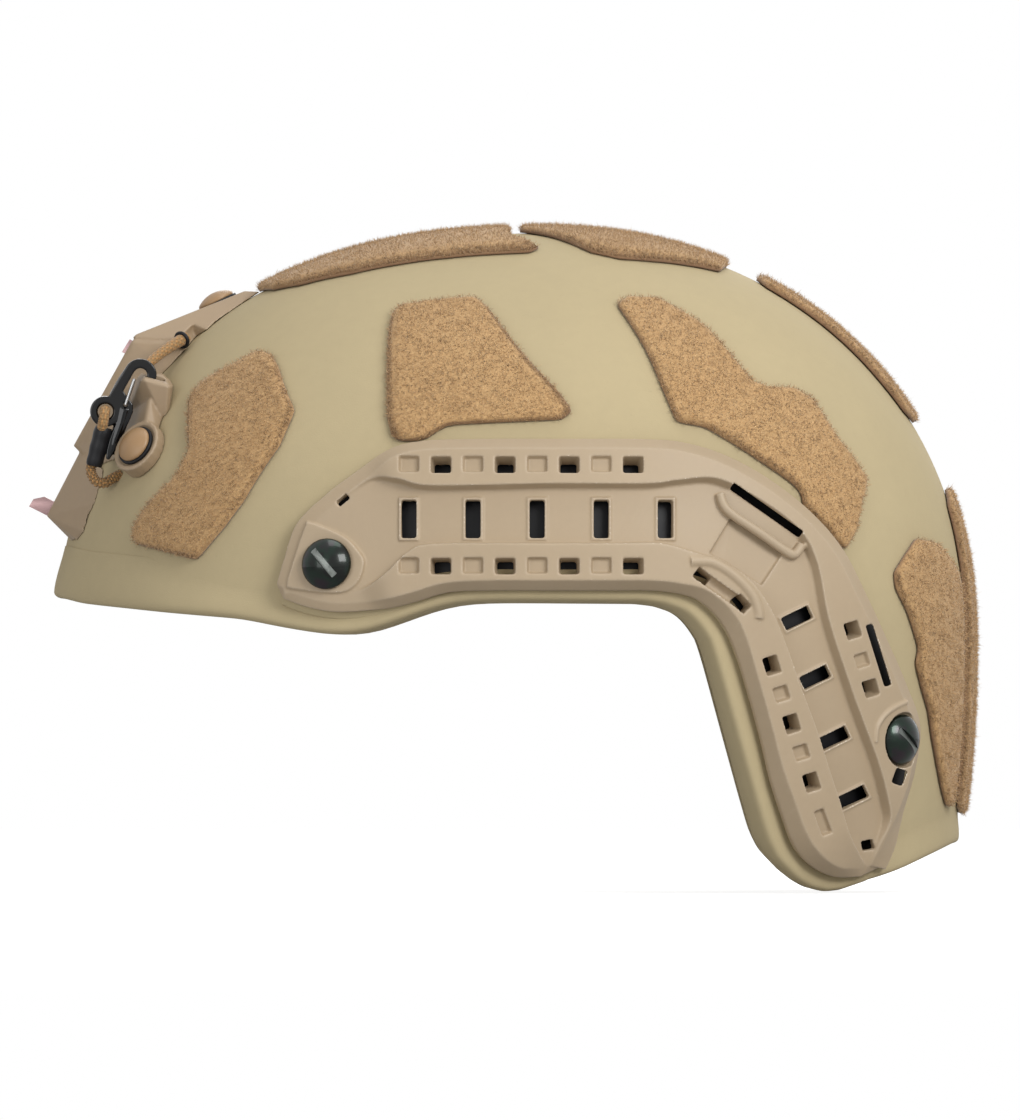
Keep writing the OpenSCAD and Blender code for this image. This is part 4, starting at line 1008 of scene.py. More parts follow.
class HELMET_OT_rails(bpy.types.Operator):
    """Lofts the side rail, adds its rims and pockets, and rounds it as a moulding"""
    bl_idname = "helmet.rails"
    bl_label = "Side rails"

    def execute(self, context):
        rail = loft("rail_moulding_left", rail_rings(np.linspace(0, 22, 177)))
        combine(rail, prism(RECESS, RECESS_FLOOR, ABOVE, RAIL_FLOOR, 0.7), "DIFFERENCE")
        combine(rail, rail_adders(), "UNION")
        combine(rail, rail_pockets(), "DIFFERENCE")
        mould(rail, make().moulding_cell / MM, 3, 0.28)
        mark_edges(rail)
        seat_pair(rail, rail_polymer(), "rail")
        stations = np.linspace(0, 22, 133)
        seat_pair(self.ledge(stations), shell_paint(), "rail_seat")
        # A black sheet of painted shade under the rail, seen through its slots.
        seat_pair(self.liner(stations), black_rubber())
        return {"FINISHED"}

    def ledge(self, stations):
        """The shell-coloured strip under the rail's inner edge."""
        g = curve(RAIL_ROWS, stations)
        c, d = g[:, 2], g[:, 3]
        inner = side(toward(d, c, np.minimum(6.0, np.linalg.norm(c - d, axis=1))))
        outer = side(d - unit(c - d) * np.interp(stations, *LIP_LINE.T)[:, None])
        near = outer + (inner - outer) * 0.08
        ring = ((outer, GAP), (outer, GAP + 0.85), (near, GAP + 1.3), (inner, GAP + 1.3), (inner, GAP))
        return smooth(loft("rail_ledge_left", np.stack([on_skin(*corner) for corner in ring], 1)), 50)

    def liner(self, stations):
        """A thin black sheet of painted shade on the shell under the rail, which makes the slots look deep.
        """
        g = curve(RAIL_ROWS, stations)
        margin = np.interp(stations, *SHADE_SHEET_MARGIN.T)
        top, bottom = (side(toward(g[:, a], g[:, b], margin)[SHADE_SHEET_RUN], 0.0, RAIL_BASE)
                       for a, b in ((0, 1), (3, 2)))
        across = [bottom + (top - bottom) * share for share in np.linspace(0, 1, 13)]
        lines = [on_skin(line, SHADE_SHEET_LOW) for line in across]
        lines += [on_skin(line, SHADE_SHEET_HIGH) for line in across[::-1]]
        return smooth(loft("rail_liner_left", np.stack(lines, 1)), 50)


# Bolts
RAIL_HEAD, SHROUD_HEAD = (15.3, 4.6, 1.0), (11.2, 2.9, 0.9)
SLOT_TURNS, SLOT_LENGTH, SLOT_WIDTH = (42, 51), 12.2, 2.0
SHANK_R, RAIL_SHANK, SHROUD_SHANK = 2.5, -16, -15
RAIL_SEAT, SHROUD_TOP_SEAT, SHROUD_SIDE_SEAT = 6.2, 3.4 + 1.0, 4.2 + 1.0


def turned_head(diameter, height, rim, turn=None):
    """A domed bolt head, with a sunk slot if a turn is given; z = 0 is its seat."""
    radius = diameter / 2
    dome = (radius ** 2 + (height - rim) ** 2) / (2 * (height - rim))
    angles = np.linspace(0.02, math.asin(radius / dome), 15)
    profile = [(dome * math.sin(a), height - dome + dome * math.cos(a)) for a in angles]
    profile[-1] = (radius - 0.12, profile[-1][1])
    profile += [(radius, rim - 0.25), (radius, 0.2), (radius - 0.15, 0.0), (1.0, 0.0)]
    turns = np.radians(np.arange(0, 360, 5))
    rings = np.array([[(r * math.cos(a), r * math.sin(a), z) for a in turns] for r, z in profile])
    head = loft("bolt_head", rings)
    if turn is not None:
        pick()
        bpy.ops.mesh.primitive_cube_add(size=1)
        slot = bpy.context.object
        slot.data.transform(Matrix.Rotation(math.radians(turn), 4, "Z")
                            @ Matrix.Translation((0, 0, (height - 0.5) * MM))
                            @ Matrix.Diagonal((SLOT_LENGTH * MM, SLOT_WIDTH * MM, 2.0 * MM, 1)))
        combine(head, slot, "DIFFERENCE")
    head.data.materials.clear()
    shape_with(head, "BEVEL", width=0.16 * MM, segments=2, limit_method="ANGLE", angle_limit=math.radians(50))
    return smooth(head, 40)


class HELMET_OT_bolts(bpy.types.Operator):
    """Turns the domed bolts of the rails and the shroud, with their shanks"""
    bl_idname = "helmet.bolts"
    bl_label = "Bolts"

    def execute(self, context):
        gloss = bolt_gloss(paint("#1C1F1C"))
        worn = finish("Worn_slot", paint("#6E726E"), rough=0.34, grain=1100.0, depth=0.12, mottle=0.7,
                      metallic=0.7)
        painted = finish("Shroud_bolt_paint", hue("bolt"), rough=0.45, grain=2600.0, depth=0.02, mottle=0.08,
                         specular=0.5)
        places = bolt_places()
        heads = []
        for (foot, way), turn in zip(places[:2], SLOT_TURNS):
            head = turned_head(*RAIL_HEAD, turn)
            dress(head, gloss, worn)
            self.wear_slot(head, math.radians(turn))
            shank = upright_cylinder("shank", SHANK_R, RAIL_SHANK, 0.2, 32)
            dress(shank, gloss)
            heads.append(stood(joined("bolt", [head, shank]), foot + way * RAIL_SEAT, way))
        seat_pair(joined("rail_bolt_heads_left", heads), None, "rail_bolts")

        heads = []
        (side_foot, side_way), (top_foot, top_way) = places[2:]
        for foot, way, raised in ((top_foot, top_way, SHROUD_TOP_SEAT),
                                  (side_foot, side_way, SHROUD_SIDE_SEAT),
                                  (side_foot * RIGHT, side_way * RIGHT, SHROUD_SIDE_SEAT)):
            parts = [turned_head(*SHROUD_HEAD), upright_cylinder("shank", SHANK_R, SHROUD_SHANK, 0.2, 32)]
            heads.append(stood(joined("bolt", parts), foot + way * raised, way))
        seat(joined("shroud_bolt_heads", heads), painted, "shroud_bolts")
        return {"FINISHED"}

    def wear_slot(self, head, turn):
        """Gives the faces of the slot's floor the second material."""
        for face in head.data.polygons:
            x, y, z = face.center / MM
            across = abs(y * math.cos(turn) - x * math.sin(turn))
            if face.normal.z > 0.95 and across < 0.85 and 2.5 < z < 3.3:
                face.material_index = 1


# Shroud and the plain nodes
class HELMET_OT_shroud(bpy.types.Operator):
    """Rounds the shroud as a moulding and finishes the nodes that keep their CAD shape"""
    bl_idname = "helmet.shroud"
    bl_label = "Shroud and fittings"

    def execute(self, context):
        shroud = mould(copy_of("shroud_frame", "shroud_moulding"), 0.38, 3, 0.3)
        mark_edges(shroud)
        seat(shroud, shroud_polymer(), "shroud_frame")

        metal = finish("Rose_anodised", hue("insert"), rough=0.38, grain=5200.0, depth=0.01, mottle=0.05,
                       metallic=0.55, specular=0.6)
        oxide = finish("Black_oxide", paint("#1E1E1F"), rough=0.5, grain=2600.0, depth=0.02, mottle=0.12,
                       metallic=0.6)
        hook_tape = finish("Hook_tape", paint("#2A2A28"), rough=0.9, grain=1500.0, depth=0.25, mottle=0.25)
        wire = finish("Gate_wire", paint("#A8A8A8"), rough=0.3, grain=5000.0, depth=0.005, mottle=0.06,
                      metallic=1.0)
        for material, bevel, names in (
                (metal, 0.25, ("shroud_insert",)),
                (oxide, 0.2, ("rail_nuts_left", "rail_nuts_right", "shroud_nuts")),
                (black_rubber(), 0.2, ("shroud_washers",)),
                (wire, 0.0, ("hook_gate_left", "hook_gate_right")), (hook_tape, 0.0, ("pad_hooks",))):
            for name in names:
                self.finish_node(nodes[name], material, bevel)

        rings = []
        for mirror in (LEFT, RIGHT):
            start, ahead = (np.array(p) * mirror for p in STOW_ROUTE[:2])
            pick()
            bpy.ops.mesh.primitive_torus_add(major_radius=2.2 * MM, minor_radius=0.55 * MM, major_segments=48,
                                             minor_segments=14)
            way = unit(ahead - start)
            rings.append(stood(bpy.context.object, start + way * 1.9, way))
        seat(smooth(joined("grommet_rings", rings)), black_rubber(), "cord_grommets")
        return {"FINISHED"}

    def finish_node(self, node, material, bevel):
        """Dresses a CAD node and breaks its edges by this much, in mm."""
        dress(node, material)
        node.modifiers.new("Weld", "WELD").merge_threshold = 2e-6
        if bevel:
            edge = node.modifiers.new("Bevel", "BEVEL")
            edge.width = bevel * MM
            edge.segments = 2
            edge.limit_method = "ANGLE"
            edge.angle_limit = math.radians(38)
        smooth(node, 38)


# Pile panels
PILE_T, PILE_GAP, PILE_FALL = 2.4, 0.4, 0.5
MOST_FIBRES = 18000
FIRST_SEED = 12
SIDE_FOOT = np.array([[-46, 47.0], [-35, 47.2], [-32.6, 48.4], [-29.6, 52.4], [-27, 53.0], [10, 54.0]])
SIDE_PANELS = {
    "loop_front": (
        [[-91.5, 71], [-97.5, 68], [-101.5, 65.5], [-105.5, 61], [-106, 54.5], [-105.5, 45], [-109.5, 37],
         [-118.5, 28], [-122.5, 22], [-122, 17]],
        [[-84.5, 75], [-80.5, 74], [-78.5, 70], [-76, 62.5], [-73.5, 57], [-78, 46.5], [-83, 39.5],
         [-89, 29.5], [-95, 21.5], [-103, 12]]),
    "loop_side": (
        [[-41.5, 88.5], [-44.5, 86.5], [-45.5, 81], [-46, 72], [-46, 63], [-46, 55], [-44.5, 49],
         [-41.5, 47.5]],
        [[-20, 91], [-16.5, 89], [-12, 83], [-7.5, 77], [-2, 70.5], [6, 62], [9.8, 56.5], [6.5, 53.5]]),
    "loop_rear_side": (
        [[23, 89], [26.5, 84], [30.5, 77.5], [33.5, 71.5], [36.5, 64], [39.5, 57], [41, 53.5], [49.5, 52],
         [58, 47], [66.5, 41.5], [76.5, 34.5], [78.5, 32], [79, 28], [86, 21], [90, 16], [92, 15.5]],
        [[25.5, 91], [35.5, 90.5], [42, 87], [50, 82], [55.5, 76], [60.5, 70], [64, 65.5], [69, 64], [76, 64],
         [81.5, 61], [84.5, 56.5], [89, 49], [95, 41.5], [98.5, 36], [96.5, 29], [95, 21]]),
}
NAPE_A = [[113, 18.6], [109.6, 13.4], [106.4, 8.4], [107, 3.4], [110.5, -3.5], [112.5, -9.5], [114, -14.5],
          [113, -19], [115, -27], [117, -33.5], [118, -41], [119.5, -49], [121, -56.5], [122.5, -62]]
NAPE_B = [[40, 17], [34, 13.5], [28, 8.5], [26, 5], [26, -1], [26, -9], [26, -14], [26, -20], [26, -27],
          [26, -33.5], [26, -41], [26, -49], [26, -56.5], [26, -62]]
CROWN_LINES = {
    "loop_crown_front": [[-84.2, 5, 0], [-80, 20, 0], [-72, 29, 0], [-57, 35.5, 0], [-42, 37.5, 0],
                         [-27, 38.5, 0], [-13, 38.5, 4], [-3, 38, 8], [0, 34, 9]],
    "loop_crown_rear": [[-6, 6, 0], [1.5, 17.5, 0], [9, 28, 0], [15, 36, 0], [24, 38.5, 0], [34, 35, 0],
                        [44, 30, 0], [54, 24, 0], [56, 10, 0]],
    "loop_rear_upper": [[65, 6, 0], [68, 14, 0], [78, 15, 0], [90, 15.5, 0], [102, 16, 0], [109, 14, 0],
                        [112, 6, 0]],
}
MIDDLE = (*CROWN_LINES, "loop_rear_lower")
REAR_LOWER = [[33, 6], [28, 16], [14, 18], [0, 19], [-14, 20], [-28, 20], [-42, 20], [-56, 19],
              [-62, 16], [-64, 8]]


def panel_table(first, second, across=18):
    """Feet of a panel between two edges, as a table of points on the skin."""
    stations = np.linspace(0, len(first) - 1, (len(first) - 1) * 5 + 1)
    whole = np.arange(len(first))
    a, b = (np.stack([np.interp(stations, whole, edge[:, k]) for k in range(3)], -1)
            for edge in (first, second))
    t = np.linspace(0, 1, across + 1)[None, :, None]
    return on_skin(a[:, None] + (b - a)[:, None] * t)


def crown_table(rows):
    """Feet of a panel on the centre line, from rows of X, half width and how far its sides are drawn."""
    rows = np.array(rows, float)
    stations = np.linspace(0, len(rows) - 1, (len(rows) - 1) * 5 + 1)
    x, half, draw = (np.interp(stations, np.arange(len(rows)), rows[:, k])[:, None] for k in range(3))
    s = np.linspace(-3, 3, 19)[None, :]
    return crown(x - draw * np.minimum(1, 3 - np.abs(s)), s / 3 * half)


def stepped_foot(table, rows=14):
    """The side panel with its lower edge stepped up over the rail."""
    bottom = table[-1]
    rise_by = np.interp(bottom[:, 0], *SIDE_FOOT.T) - bottom[:, 2]
    share = np.clip((np.arange(len(table)) - (len(table) - 1 - rows)) / rows, 0, 1) ** 2
    lifted = table.copy()
    lifted[..., 2] += share[:, None] * rise_by[None]
    return on_skin(lifted)


def outline_of(table):
    """The table's border as one closed line."""
    return np.concatenate([table[0], table[1:, -1], table[-1, ::-1][1:], table[::-1, 0][1:-1]])


def runs_of(line):
    """How far along a line each of its points is."""
    return np.concatenate([[0], np.cumsum(np.linalg.norm(np.diff(line, axis=0), axis=1))])


def rounded_off(table):
    """The same panel with its corners rounded off and its middle laid out anew between its four edges."""
    outline = outline_of(table)
    runs = runs_of(np.concatenate([outline, outline[:1]]))
    soft = evenly(outline, 0.5)
    for _ in range(2):
        soft = sum(np.roll(soft, k, 0) for k in range(-2, 3)) / 5
    ticks = np.linspace(0, runs[-1], len(soft) + 1)
    soft = np.concatenate([soft, soft[:1]])
    line = np.stack([np.interp(runs[:-1], ticks, soft[:, k]) for k in range(3)], -1)
    rows, columns = table.shape[:2]
    top, right = line[:columns], line[columns - 1:columns + rows - 1]
    bottom = line[columns + rows - 2:2 * columns + rows - 2][::-1]
    left = np.concatenate([line[:1], line[2 * columns + rows - 3:][::-1]])
    u, v = np.linspace(0, 1, columns)[None, :, None], np.linspace(0, 1, rows)[:, None, None]
    corners = ((1 - u) * (1 - v) * top[0] + u * (1 - v) * top[-1]
               + (1 - u) * v * bottom[0] + u * v * bottom[-1])
    return on_skin((1 - v) * top[None] + v * bottom[None]
                   + (1 - u) * left[:, None] + u * right[:, None] - corners)


def from_outline(points, outline):
    """Distance of points from a closed line, in mm."""
    best = np.full(len(points), 1e9)
    for a, b in zip(outline, np.roll(outline, -1, 0)):
        d = b - a
        size = max(float(d @ d), 1e-9)
        t = np.clip((points - a) @ d / size, 0, 1)
        best = np.minimum(best, np.linalg.norm(points - a - t[:, None] * d, axis=1))
    return best


def backing(name, table):
    """The panel's body: its border drawn down, its middle slightly uneven."""
    outline = outline_of(table)
    flat = table.reshape(-1, 3)
    inside = from_outline(flat, outline)
    lift = PILE_GAP + 0.5 + (PILE_T - 0.9) * (1 - np.exp(-inside / PILE_FALL))
    lift += 0.12 * np.sin(flat[:, 0] * 0.9) * np.sin(flat[:, 2] * 0.8 + flat[:, 1] * 0.7)
    top = (flat + normal(flat) * lift[:, None]).reshape(table.shape)
    low = (flat + normal(flat) * PILE_GAP).reshape(table.shape)
    upper, lower = laid_grid(name, top), laid_grid("lower", low)
    piece = joined(name, [lower, upper])
    bpy.ops.object.mode_set(mode="EDIT")
    bpy.ops.mesh.select_all(action="DESELECT")
    bpy.ops.mesh.select_mode(type="EDGE")
    bpy.ops.mesh.select_non_manifold()
    bpy.ops.mesh.bridge_edge_loops()
    bpy.ops.mesh.select_all(action="SELECT")
    bpy.ops.mesh.normals_make_consistent(inside=False)
    bpy.ops.mesh.select_mode(type="VERT")
    bpy.ops.object.mode_set(mode="OBJECT")
    co = points_of(piece) / MM
    foot = on_skin(co)
    up = ((co - foot) * normal(foot)).sum(1)
    edge = from_outline(foot, outline)
    # Low on the border and on the sides the backing takes the root colour, painted shade.
    mark(piece.data, height=np.clip((up - 0.55) / 0.5, 0, 1) * np.clip(edge / 0.25, 0.0, 1),
         tone=np.full(len(up), 0.3))
    return piece


FIBRE_FACES = ([0, 1, 4, 3], [1, 2, 5, 4], [2, 0, 3, 5], [3, 4, 6], [4, 5, 6], [5, 3, 6])
# Marks from root to tip; the pile's material paints shade towards the root by them.
FIBRE_HEIGHTS = [0.45] * 3 + [0.85] * 3 + [1.0]


def fibres(name, table, density, length, seed):
    """Short bent strands of three sides, rooted all over a panel."""
    rng = np.random.default_rng(seed)
    a, b, c, d = table[:-1, :-1], table[:-1, 1:], table[1:, :-1], table[1:, 1:]
    area = (np.linalg.norm(np.cross(b - a, c - a), axis=-1) / 2
            + np.linalg.norm(np.cross(b - d, c - d), axis=-1) / 2)
    count = min(int(area.sum() * density), MOST_FIBRES)
    cell = rng.choice(area.size, count, p=(area / area.sum()).ravel())
    i, j = np.unravel_index(cell, area.shape)
    u, v = rng.random((2, count, 1))
    root = (a[i, j] * (1 - u) + c[i, j] * u) * (1 - v) + (b[i, j] * (1 - u) + d[i, j] * u) * v
    out = normal(root)
    inside = from_outline(root, outline_of(table))
    low = PILE_GAP + 0.3 + (PILE_T - 1.2) * (1 - np.exp(-inside / PILE_FALL))
    around = rng.random(count) * 2 * math.pi
    e1 = unit(np.cross(out, [0.3, 0.9, 0.2]))
    e2 = np.cross(out, e1)
    bend = around + rng.normal(0, 0.9, count)
    size = length * rng.uniform(0.55, 1.1, count) * np.where(rng.random(count) < 0.02, 1.4, 1.0)
    lean = rng.uniform(0.35, 1.2, count)
    start = root + out * low[:, None]
    middle = start + between(out, between(e1, e2, around), lean) * (size * 0.5)[:, None]
    further = lean + rng.uniform(-0.3, 0.9, count)
    tip = middle + between(out, between(e1, e2, bend), further) * (size * 0.5)[:, None]
    thick = rng.uniform(0.06, 0.1, count)[:, None]
    ring = []
    for centre, width in ((start, thick), (middle, thick * 0.9)):
        for k in range(3):
            turn = k * 2 * math.pi / 3
            ring.append(centre + (e1 * math.cos(turn) + e2 * math.sin(turn)) * width)
    points = np.stack(ring + [tip], 1)
    base = np.arange(count)[:, None] * 7
    corner = np.concatenate([base + np.array(face) for face in FIBRE_FACES], 1)
    mesh = bpy.data.meshes.new(name)
    mesh.vertices.add(count * 7)
    mesh.vertices.foreach_set("co", (points * MM).astype(np.float32).ravel())
    sizes = np.tile([len(face) for face in FIBRE_FACES], count)
    mesh.loops.add(int(sizes.sum()))
    mesh.loops.foreach_set("vertex_index", corner.astype(np.int32).ravel())
    mesh.polygons.add(len(sizes))
    mesh.polygons.foreach_set("loop_start", np.concatenate([[0], np.cumsum(sizes)[:-1]]).astype(np.int32))
    mesh.update(calc_edges=True)
    # The height mark lets the pile's material paint shade at each fibre's root.
    mark(mesh, tone=np.repeat(rng.beta(1.2, 1.2, count), 7), height=np.tile(FIBRE_HEIGHTS, count))
    return new_object(name, mesh)


def evenly(line, step, closed=True):
    """Points at an even spacing along a line."""
    whole = np.concatenate([line, line[:1]]) if closed else line
    runs = runs_of(whole)
    count = max(int(runs[-1] / step), 3)
    stations = np.linspace(0, runs[-1], count, endpoint=not closed)
    return np.stack([np.interp(stations, runs, whole[:, k]) for k in range(3)], -1)


def edge_stitch(name, table):
    """Zigzag thread that is sewn over the panel's border."""
    line = evenly(outline_of(table), 0.75)
    line = line[:len(line) // 2 * 2]
    centre = table.reshape(-1, 3).mean(0)
    along = unit(np.roll(line, -1, 0) - np.roll(line, 1, 0))
    out = normal(line)
    inward = np.cross(out, along)
    inward *= np.sign(((centre - line) * inward).sum(1).mean())
    swing = np.where(np.arange(len(line)) % 2 == 0, 0.15, 1.05)
    path = line + inward * swing[:, None] + out * np.where(swing < 0.5, 0.75, 1.75)[:, None]
    return tube_round(name, path, 0.15, 4)


def tube_round(name, path, radius, sides):
    """A closed loop of tube along a path that ends where it starts."""
    along = unit(np.roll(path, -1, 0) - np.roll(path, 1, 0))
    out = normal(path)
    across = unit(np.cross(along, out))
    out = np.cross(across, along)
    turns = np.arange(sides) * 2 * math.pi / sides
    rings = path[:, None] + radius * between(across[:, None], out[:, None], turns)
    return loft(name, rings, wrap=True)


class HELMET_OT_panels(bpy.types.Operator):
    """Makes the pile panels: backing, sewn border and standing fibres"""
    bl_idname = "helmet.panels"
    bl_label = "Pile panels"

    def execute(self, context):
        pile = pile_finish(hue("pile"))
        thread = finish("Pile_thread", paint("#86684A"), rough=0.8, grain=2000.0, depth=0.03, mottle=0.2)
        density, length = make().fibre_density, make().fibre_length / MM
        tables = self.tables()
        for seed, (name, table) in enumerate(tables.items(), FIRST_SEED):
            table = rounded_off(table)
            wings = ((name, LEFT),) if name in MIDDLE else ((f"{name}_left", LEFT), (f"{name}_right", RIGHT))
            for node, mirror in wings:
                body = smooth(backing(f"{node}_backing", table * mirror))
                hair = fibres("fibres", table * mirror, density, length, seed * 2 + (mirror[1] > 0))
                for part in (body, hair):
                    dress(part, pile)
                seat(joined(f"{node}_pile", [hair, body]), None, node)
                seat(smooth(edge_stitch(f"{node}_stitch", table * mirror), 50), thread)
        return {"FINISHED"}

    def tables(self):
        """Each panel's feet by its name, the panels of the left side first."""
        def drawn(line):
            return side(line, 0, PILE_T / 2)
        tables = {name: panel_table(drawn(a), drawn(b)) for name, (a, b) in SIDE_PANELS.items()}
        tables["loop_side"] = stepped_foot(tables["loop_side"])
        nape, rear = np.array(NAPE_B, float), np.array(REAR_LOWER, float)
        tables["loop_nape"] = panel_table(drawn(NAPE_A), end(-nape[:, 0], nape[:, 1], 1), 22)
        tables |= {name: crown_table(rows) for name, rows in CROWN_LINES.items()}
        tables["loop_rear_lower"] = panel_table(*(end(way * rear[:, 1], rear[:, 0], 1) for way in (-1, 1)))
        return tables


# Cords and hooks
LOWER_ROUTE = [[-125.6, -41.4, 37.9], [-128.6, -42.4, 36.4], [-130.6, -43.2, 35.2], [-133.2, -43.2, 35.6],
               [-134.8, -43, 38.4], [-134.6, -43, 41.2]]
LOOP_ROUTE = [[-131.5, -45.6, 51.7], [-131.2, -46.7, 52.9], [-130.9, -46.8, 54.6], [-130.7, -45.8, 56.4],
              [-130.6, -43, 57], [-130.7, -40.2, 56.4], [-130.9, -39.2, 54.6], [-131.2, -39.3, 52.9],
              [-131.5, -40.4, 51.7]]
STOW_ROUTE = [[-106.6, -20, 78.8], [-110, -24.4, 76.9], [-113.6, -29, 74.4], [-116.6, -32.8, 71.9],
              [-118.4, -34.8, 70.4]]
SLEEVE_FOOT, SLEEVE_HEAD = np.array([-134.0, -43, 40.2]), np.array([-130.9, -43, 51.9])
HOOK_Y, EYE, BEND, BEND_R = -43.0, (-130.5, 56.6), (-120.0, 67.5), 3.5
THUMB = [[-124.6, HOOK_Y, 57.4], [-126, HOOK_Y, 52.4], [-127.8, HOOK_Y, 47.4], [-128.9, HOOK_Y, 43.9]]


def corded(name, route, radius, step=0.16, sides=20, rib=0.0, rib_pitch=1.0, taper=(1.0, 1.0)):
    """A cord along a route in mm, with ribs if asked; its UV map counts turns and millimetres."""
    path = evenly(curve(route, np.linspace(0, len(route) - 1, 200)), step, closed=False)
    runs = runs_of(path)
    along = unit(np.gradient(path, axis=0))
    across = unit(np.cross([0.0, 1.0, 0.05], along))
    other = np.cross(along, across)
    share = runs / runs[-1]
    wide = radius * (taper[0] + (taper[1] - taper[0]) * share)
    wide = wide * (1 + rib * (np.abs(np.sin(math.pi * runs / rib_pitch)) - 0.6))
    turns = np.linspace(0, 2 * math.pi, sides + 1)
    rings = path[:, None] + wide[:, None, None] * between(across[:, None], other[:, None], turns)
    piece = laid_grid(name, rings)
    layer = piece.data.uv_layers.active
    uv = np.empty(len(layer.uv) * 2, np.float32)
    layer.uv.foreach_get("vector", uv)
    uv = uv.reshape(-1, 2)
    uv[:, 1] *= runs[-1]
    layer.uv.foreach_set("vector", uv.ravel())
    return smooth(tidy_mesh(piece), 70)


class HELMET_OT_cords(bpy.types.Operator):
    """Makes the elastic cords, their sleeves and the snap hooks"""
    bl_idname = "helmet.cords"
    bl_label = "Cords and hooks"

    def execute(self, context):
        ribbed = cord_finish("Ribbed_cord", hue("cord"), 7.0, 2.1, 0.55)
        braided = cord_finish("Braided_cord", hue("cord"), 6.0, 2.4, 0.4)
        satin = finish("Hook_polymer", paint("#060607"), rough=0.13, grain=3000.0, depth=0.006, mottle=0.1,
                       specular=0.42)
        lower = corded("bungee_cord_left", LOWER_ROUTE, 1.5, step=0.08, rib=0.26, rib_pitch=0.88)
        loop = corded("bungee_braid_left", LOOP_ROUTE, 1.55, step=0.08, rib=0.1, rib_pitch=0.7)
        stow = corded("stow_braid_left", STOW_ROUTE, 1.7, taper=(1.1, 0.85))
        for part, wing in pair(lower):
            dress(part, ribbed)
            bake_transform(part)
            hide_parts(f"bungee_{wing}")
        seat_pair(loop, braided, "bungee_loop", "hook_{}")
        seat_pair(stow, braided, "stow_cord")
        seat_pair(self.sleeve(), black_rubber(), "bungee_sleeve", "hook_{}")
        hook = shape_with(copy_of("hook_left", "snap_hook_left"), "BEVEL", width=0.95 * MM, segments=3,
                          limit_method="ANGLE", angle_limit=math.radians(60))
        hook = mould(joined("snap_hook_left", [*self.round_bars(), hook]), 0.2, 5, 0.5)
        mark_edges(hook)
        seat_pair(hook, satin, "hook", "hook_{}")
        return {"FINISHED"}

    def round_bars(self):
        """The hook's round eye, its bend and spine, and the thumb tab's back."""
        pick()
        bpy.ops.mesh.primitive_torus_add(major_radius=3.45 * MM, minor_radius=1.2 * MM, major_segments=72,
                                         minor_segments=20, location=(0, 0, 0))
        ring = bpy.context.object
        ring.data.transform(Matrix.Translation((EYE[0] * MM, HOOK_Y * MM, EYE[1] * MM))
                            @ Matrix.Scale(1.3, 4, (0, 1, 0)) @ Matrix.Rotation(math.radians(90), 4, "X"))
        arc = [[BEND[0] + BEND_R * math.cos(a), HOOK_Y, BEND[1] + BEND_R * math.sin(a)]
               for a in np.radians(np.linspace(-4, 150, 12))]
        bar = corded("bar", arc + [[-125.6, HOOK_Y, 65.4], [-127.9, HOOK_Y, 61.2]], 1.5, step=0.3)
        return [ring, bar, corded("thumb", THUMB, 2.15, step=0.3, taper=(1.0, 0.8))]

    def sleeve(self):
        """Shrunk sleeve round the two strands, drawn in at both mouths and a little creased."""
        way = SLEEVE_HEAD - SLEEVE_FOOT
        length = np.linalg.norm(way)
        way = way / length
        across = np.array([0.0, 1.0, 0.0])
        other = np.cross(way, across)
        turns = np.radians(np.arange(0, 360, 9))
        rings = []
        for s in np.linspace(0, 1, 25):
            mouth = 1 - 0.12 * math.exp(-s * length / 0.7) - 0.12 * math.exp(-(1 - s) * length / 0.7)
            waist = mouth * (1 + 0.025 * math.sin(s * 17) - 0.10 * (1 - s) ** 2)
            x = 2.75 * waist * np.cos(turns)
            y = 1.6 * np.sign(np.sin(turns)) * np.abs(np.sin(turns)) ** 0.5 + 2.4 * waist * np.sin(turns)
            y *= 1 - 0.22 * (1 - s)
            rings.append(SLEEVE_FOOT + way * length * s
                         + other[None] * x[:, None] + across[None] * y[:, None])
        return smooth(loft("sleeve_shrink_left", np.array(rings)), 60)


# Pads
PADS = ("pad_front", "pad_crown", "pad_rear", "pad_side_front_left", "pad_side_front_right",
        "pad_side_rear_left", "pad_side_rear_right")
PAD_SWELL, PAD_PRESSURE = 2.2, 3.0
DISC_DEPTH, DISC_GAP = 10.1, 0.12
PIPING_R, PIPING_STEPS = 0.85, 120


def swell(piece, frames):
    """Lets the pad's cloth swell under pressure, and caps how far a point may move."""
    start = points_of(piece)
    pick(piece)
    cloth = piece.modifiers.new("Cloth", "CLOTH")
    cloth.settings.use_pressure = True
    cloth.settings.uniform_pressure_force = PAD_PRESSURE
    cloth.settings.quality = 6
    cloth.settings.effector_weights.gravity = 0
    cloth.point_cache.frame_start, cloth.point_cache.frame_end = 1, frames
    for step in range(1, frames + 1):
        bpy.context.scene.frame_set(step)
    bpy.ops.object.modifier_apply(modifier=cloth.name)
    bpy.context.scene.frame_set(1)
    shift = points_of(piece) - start
    far = np.linalg.norm(shift, axis=1, keepdims=True)
    lay_points(piece, start + shift * np.minimum(1, PAD_SWELL * MM / np.maximum(far, 1e-9)))


def hold_off_wall(piece):
    """Keeps a pad's back flat on its hook disc and clear of the shell."""
    co = points_of(piece) / MM
    foot = on_skin(co)
    out = normal(foot)
    deep = ((foot - co) * out).sum(1)
    push = np.maximum(DISC_DEPTH + DISC_GAP - deep, 0)
    lay_points(piece, (co - out * push[:, None]) * MM)


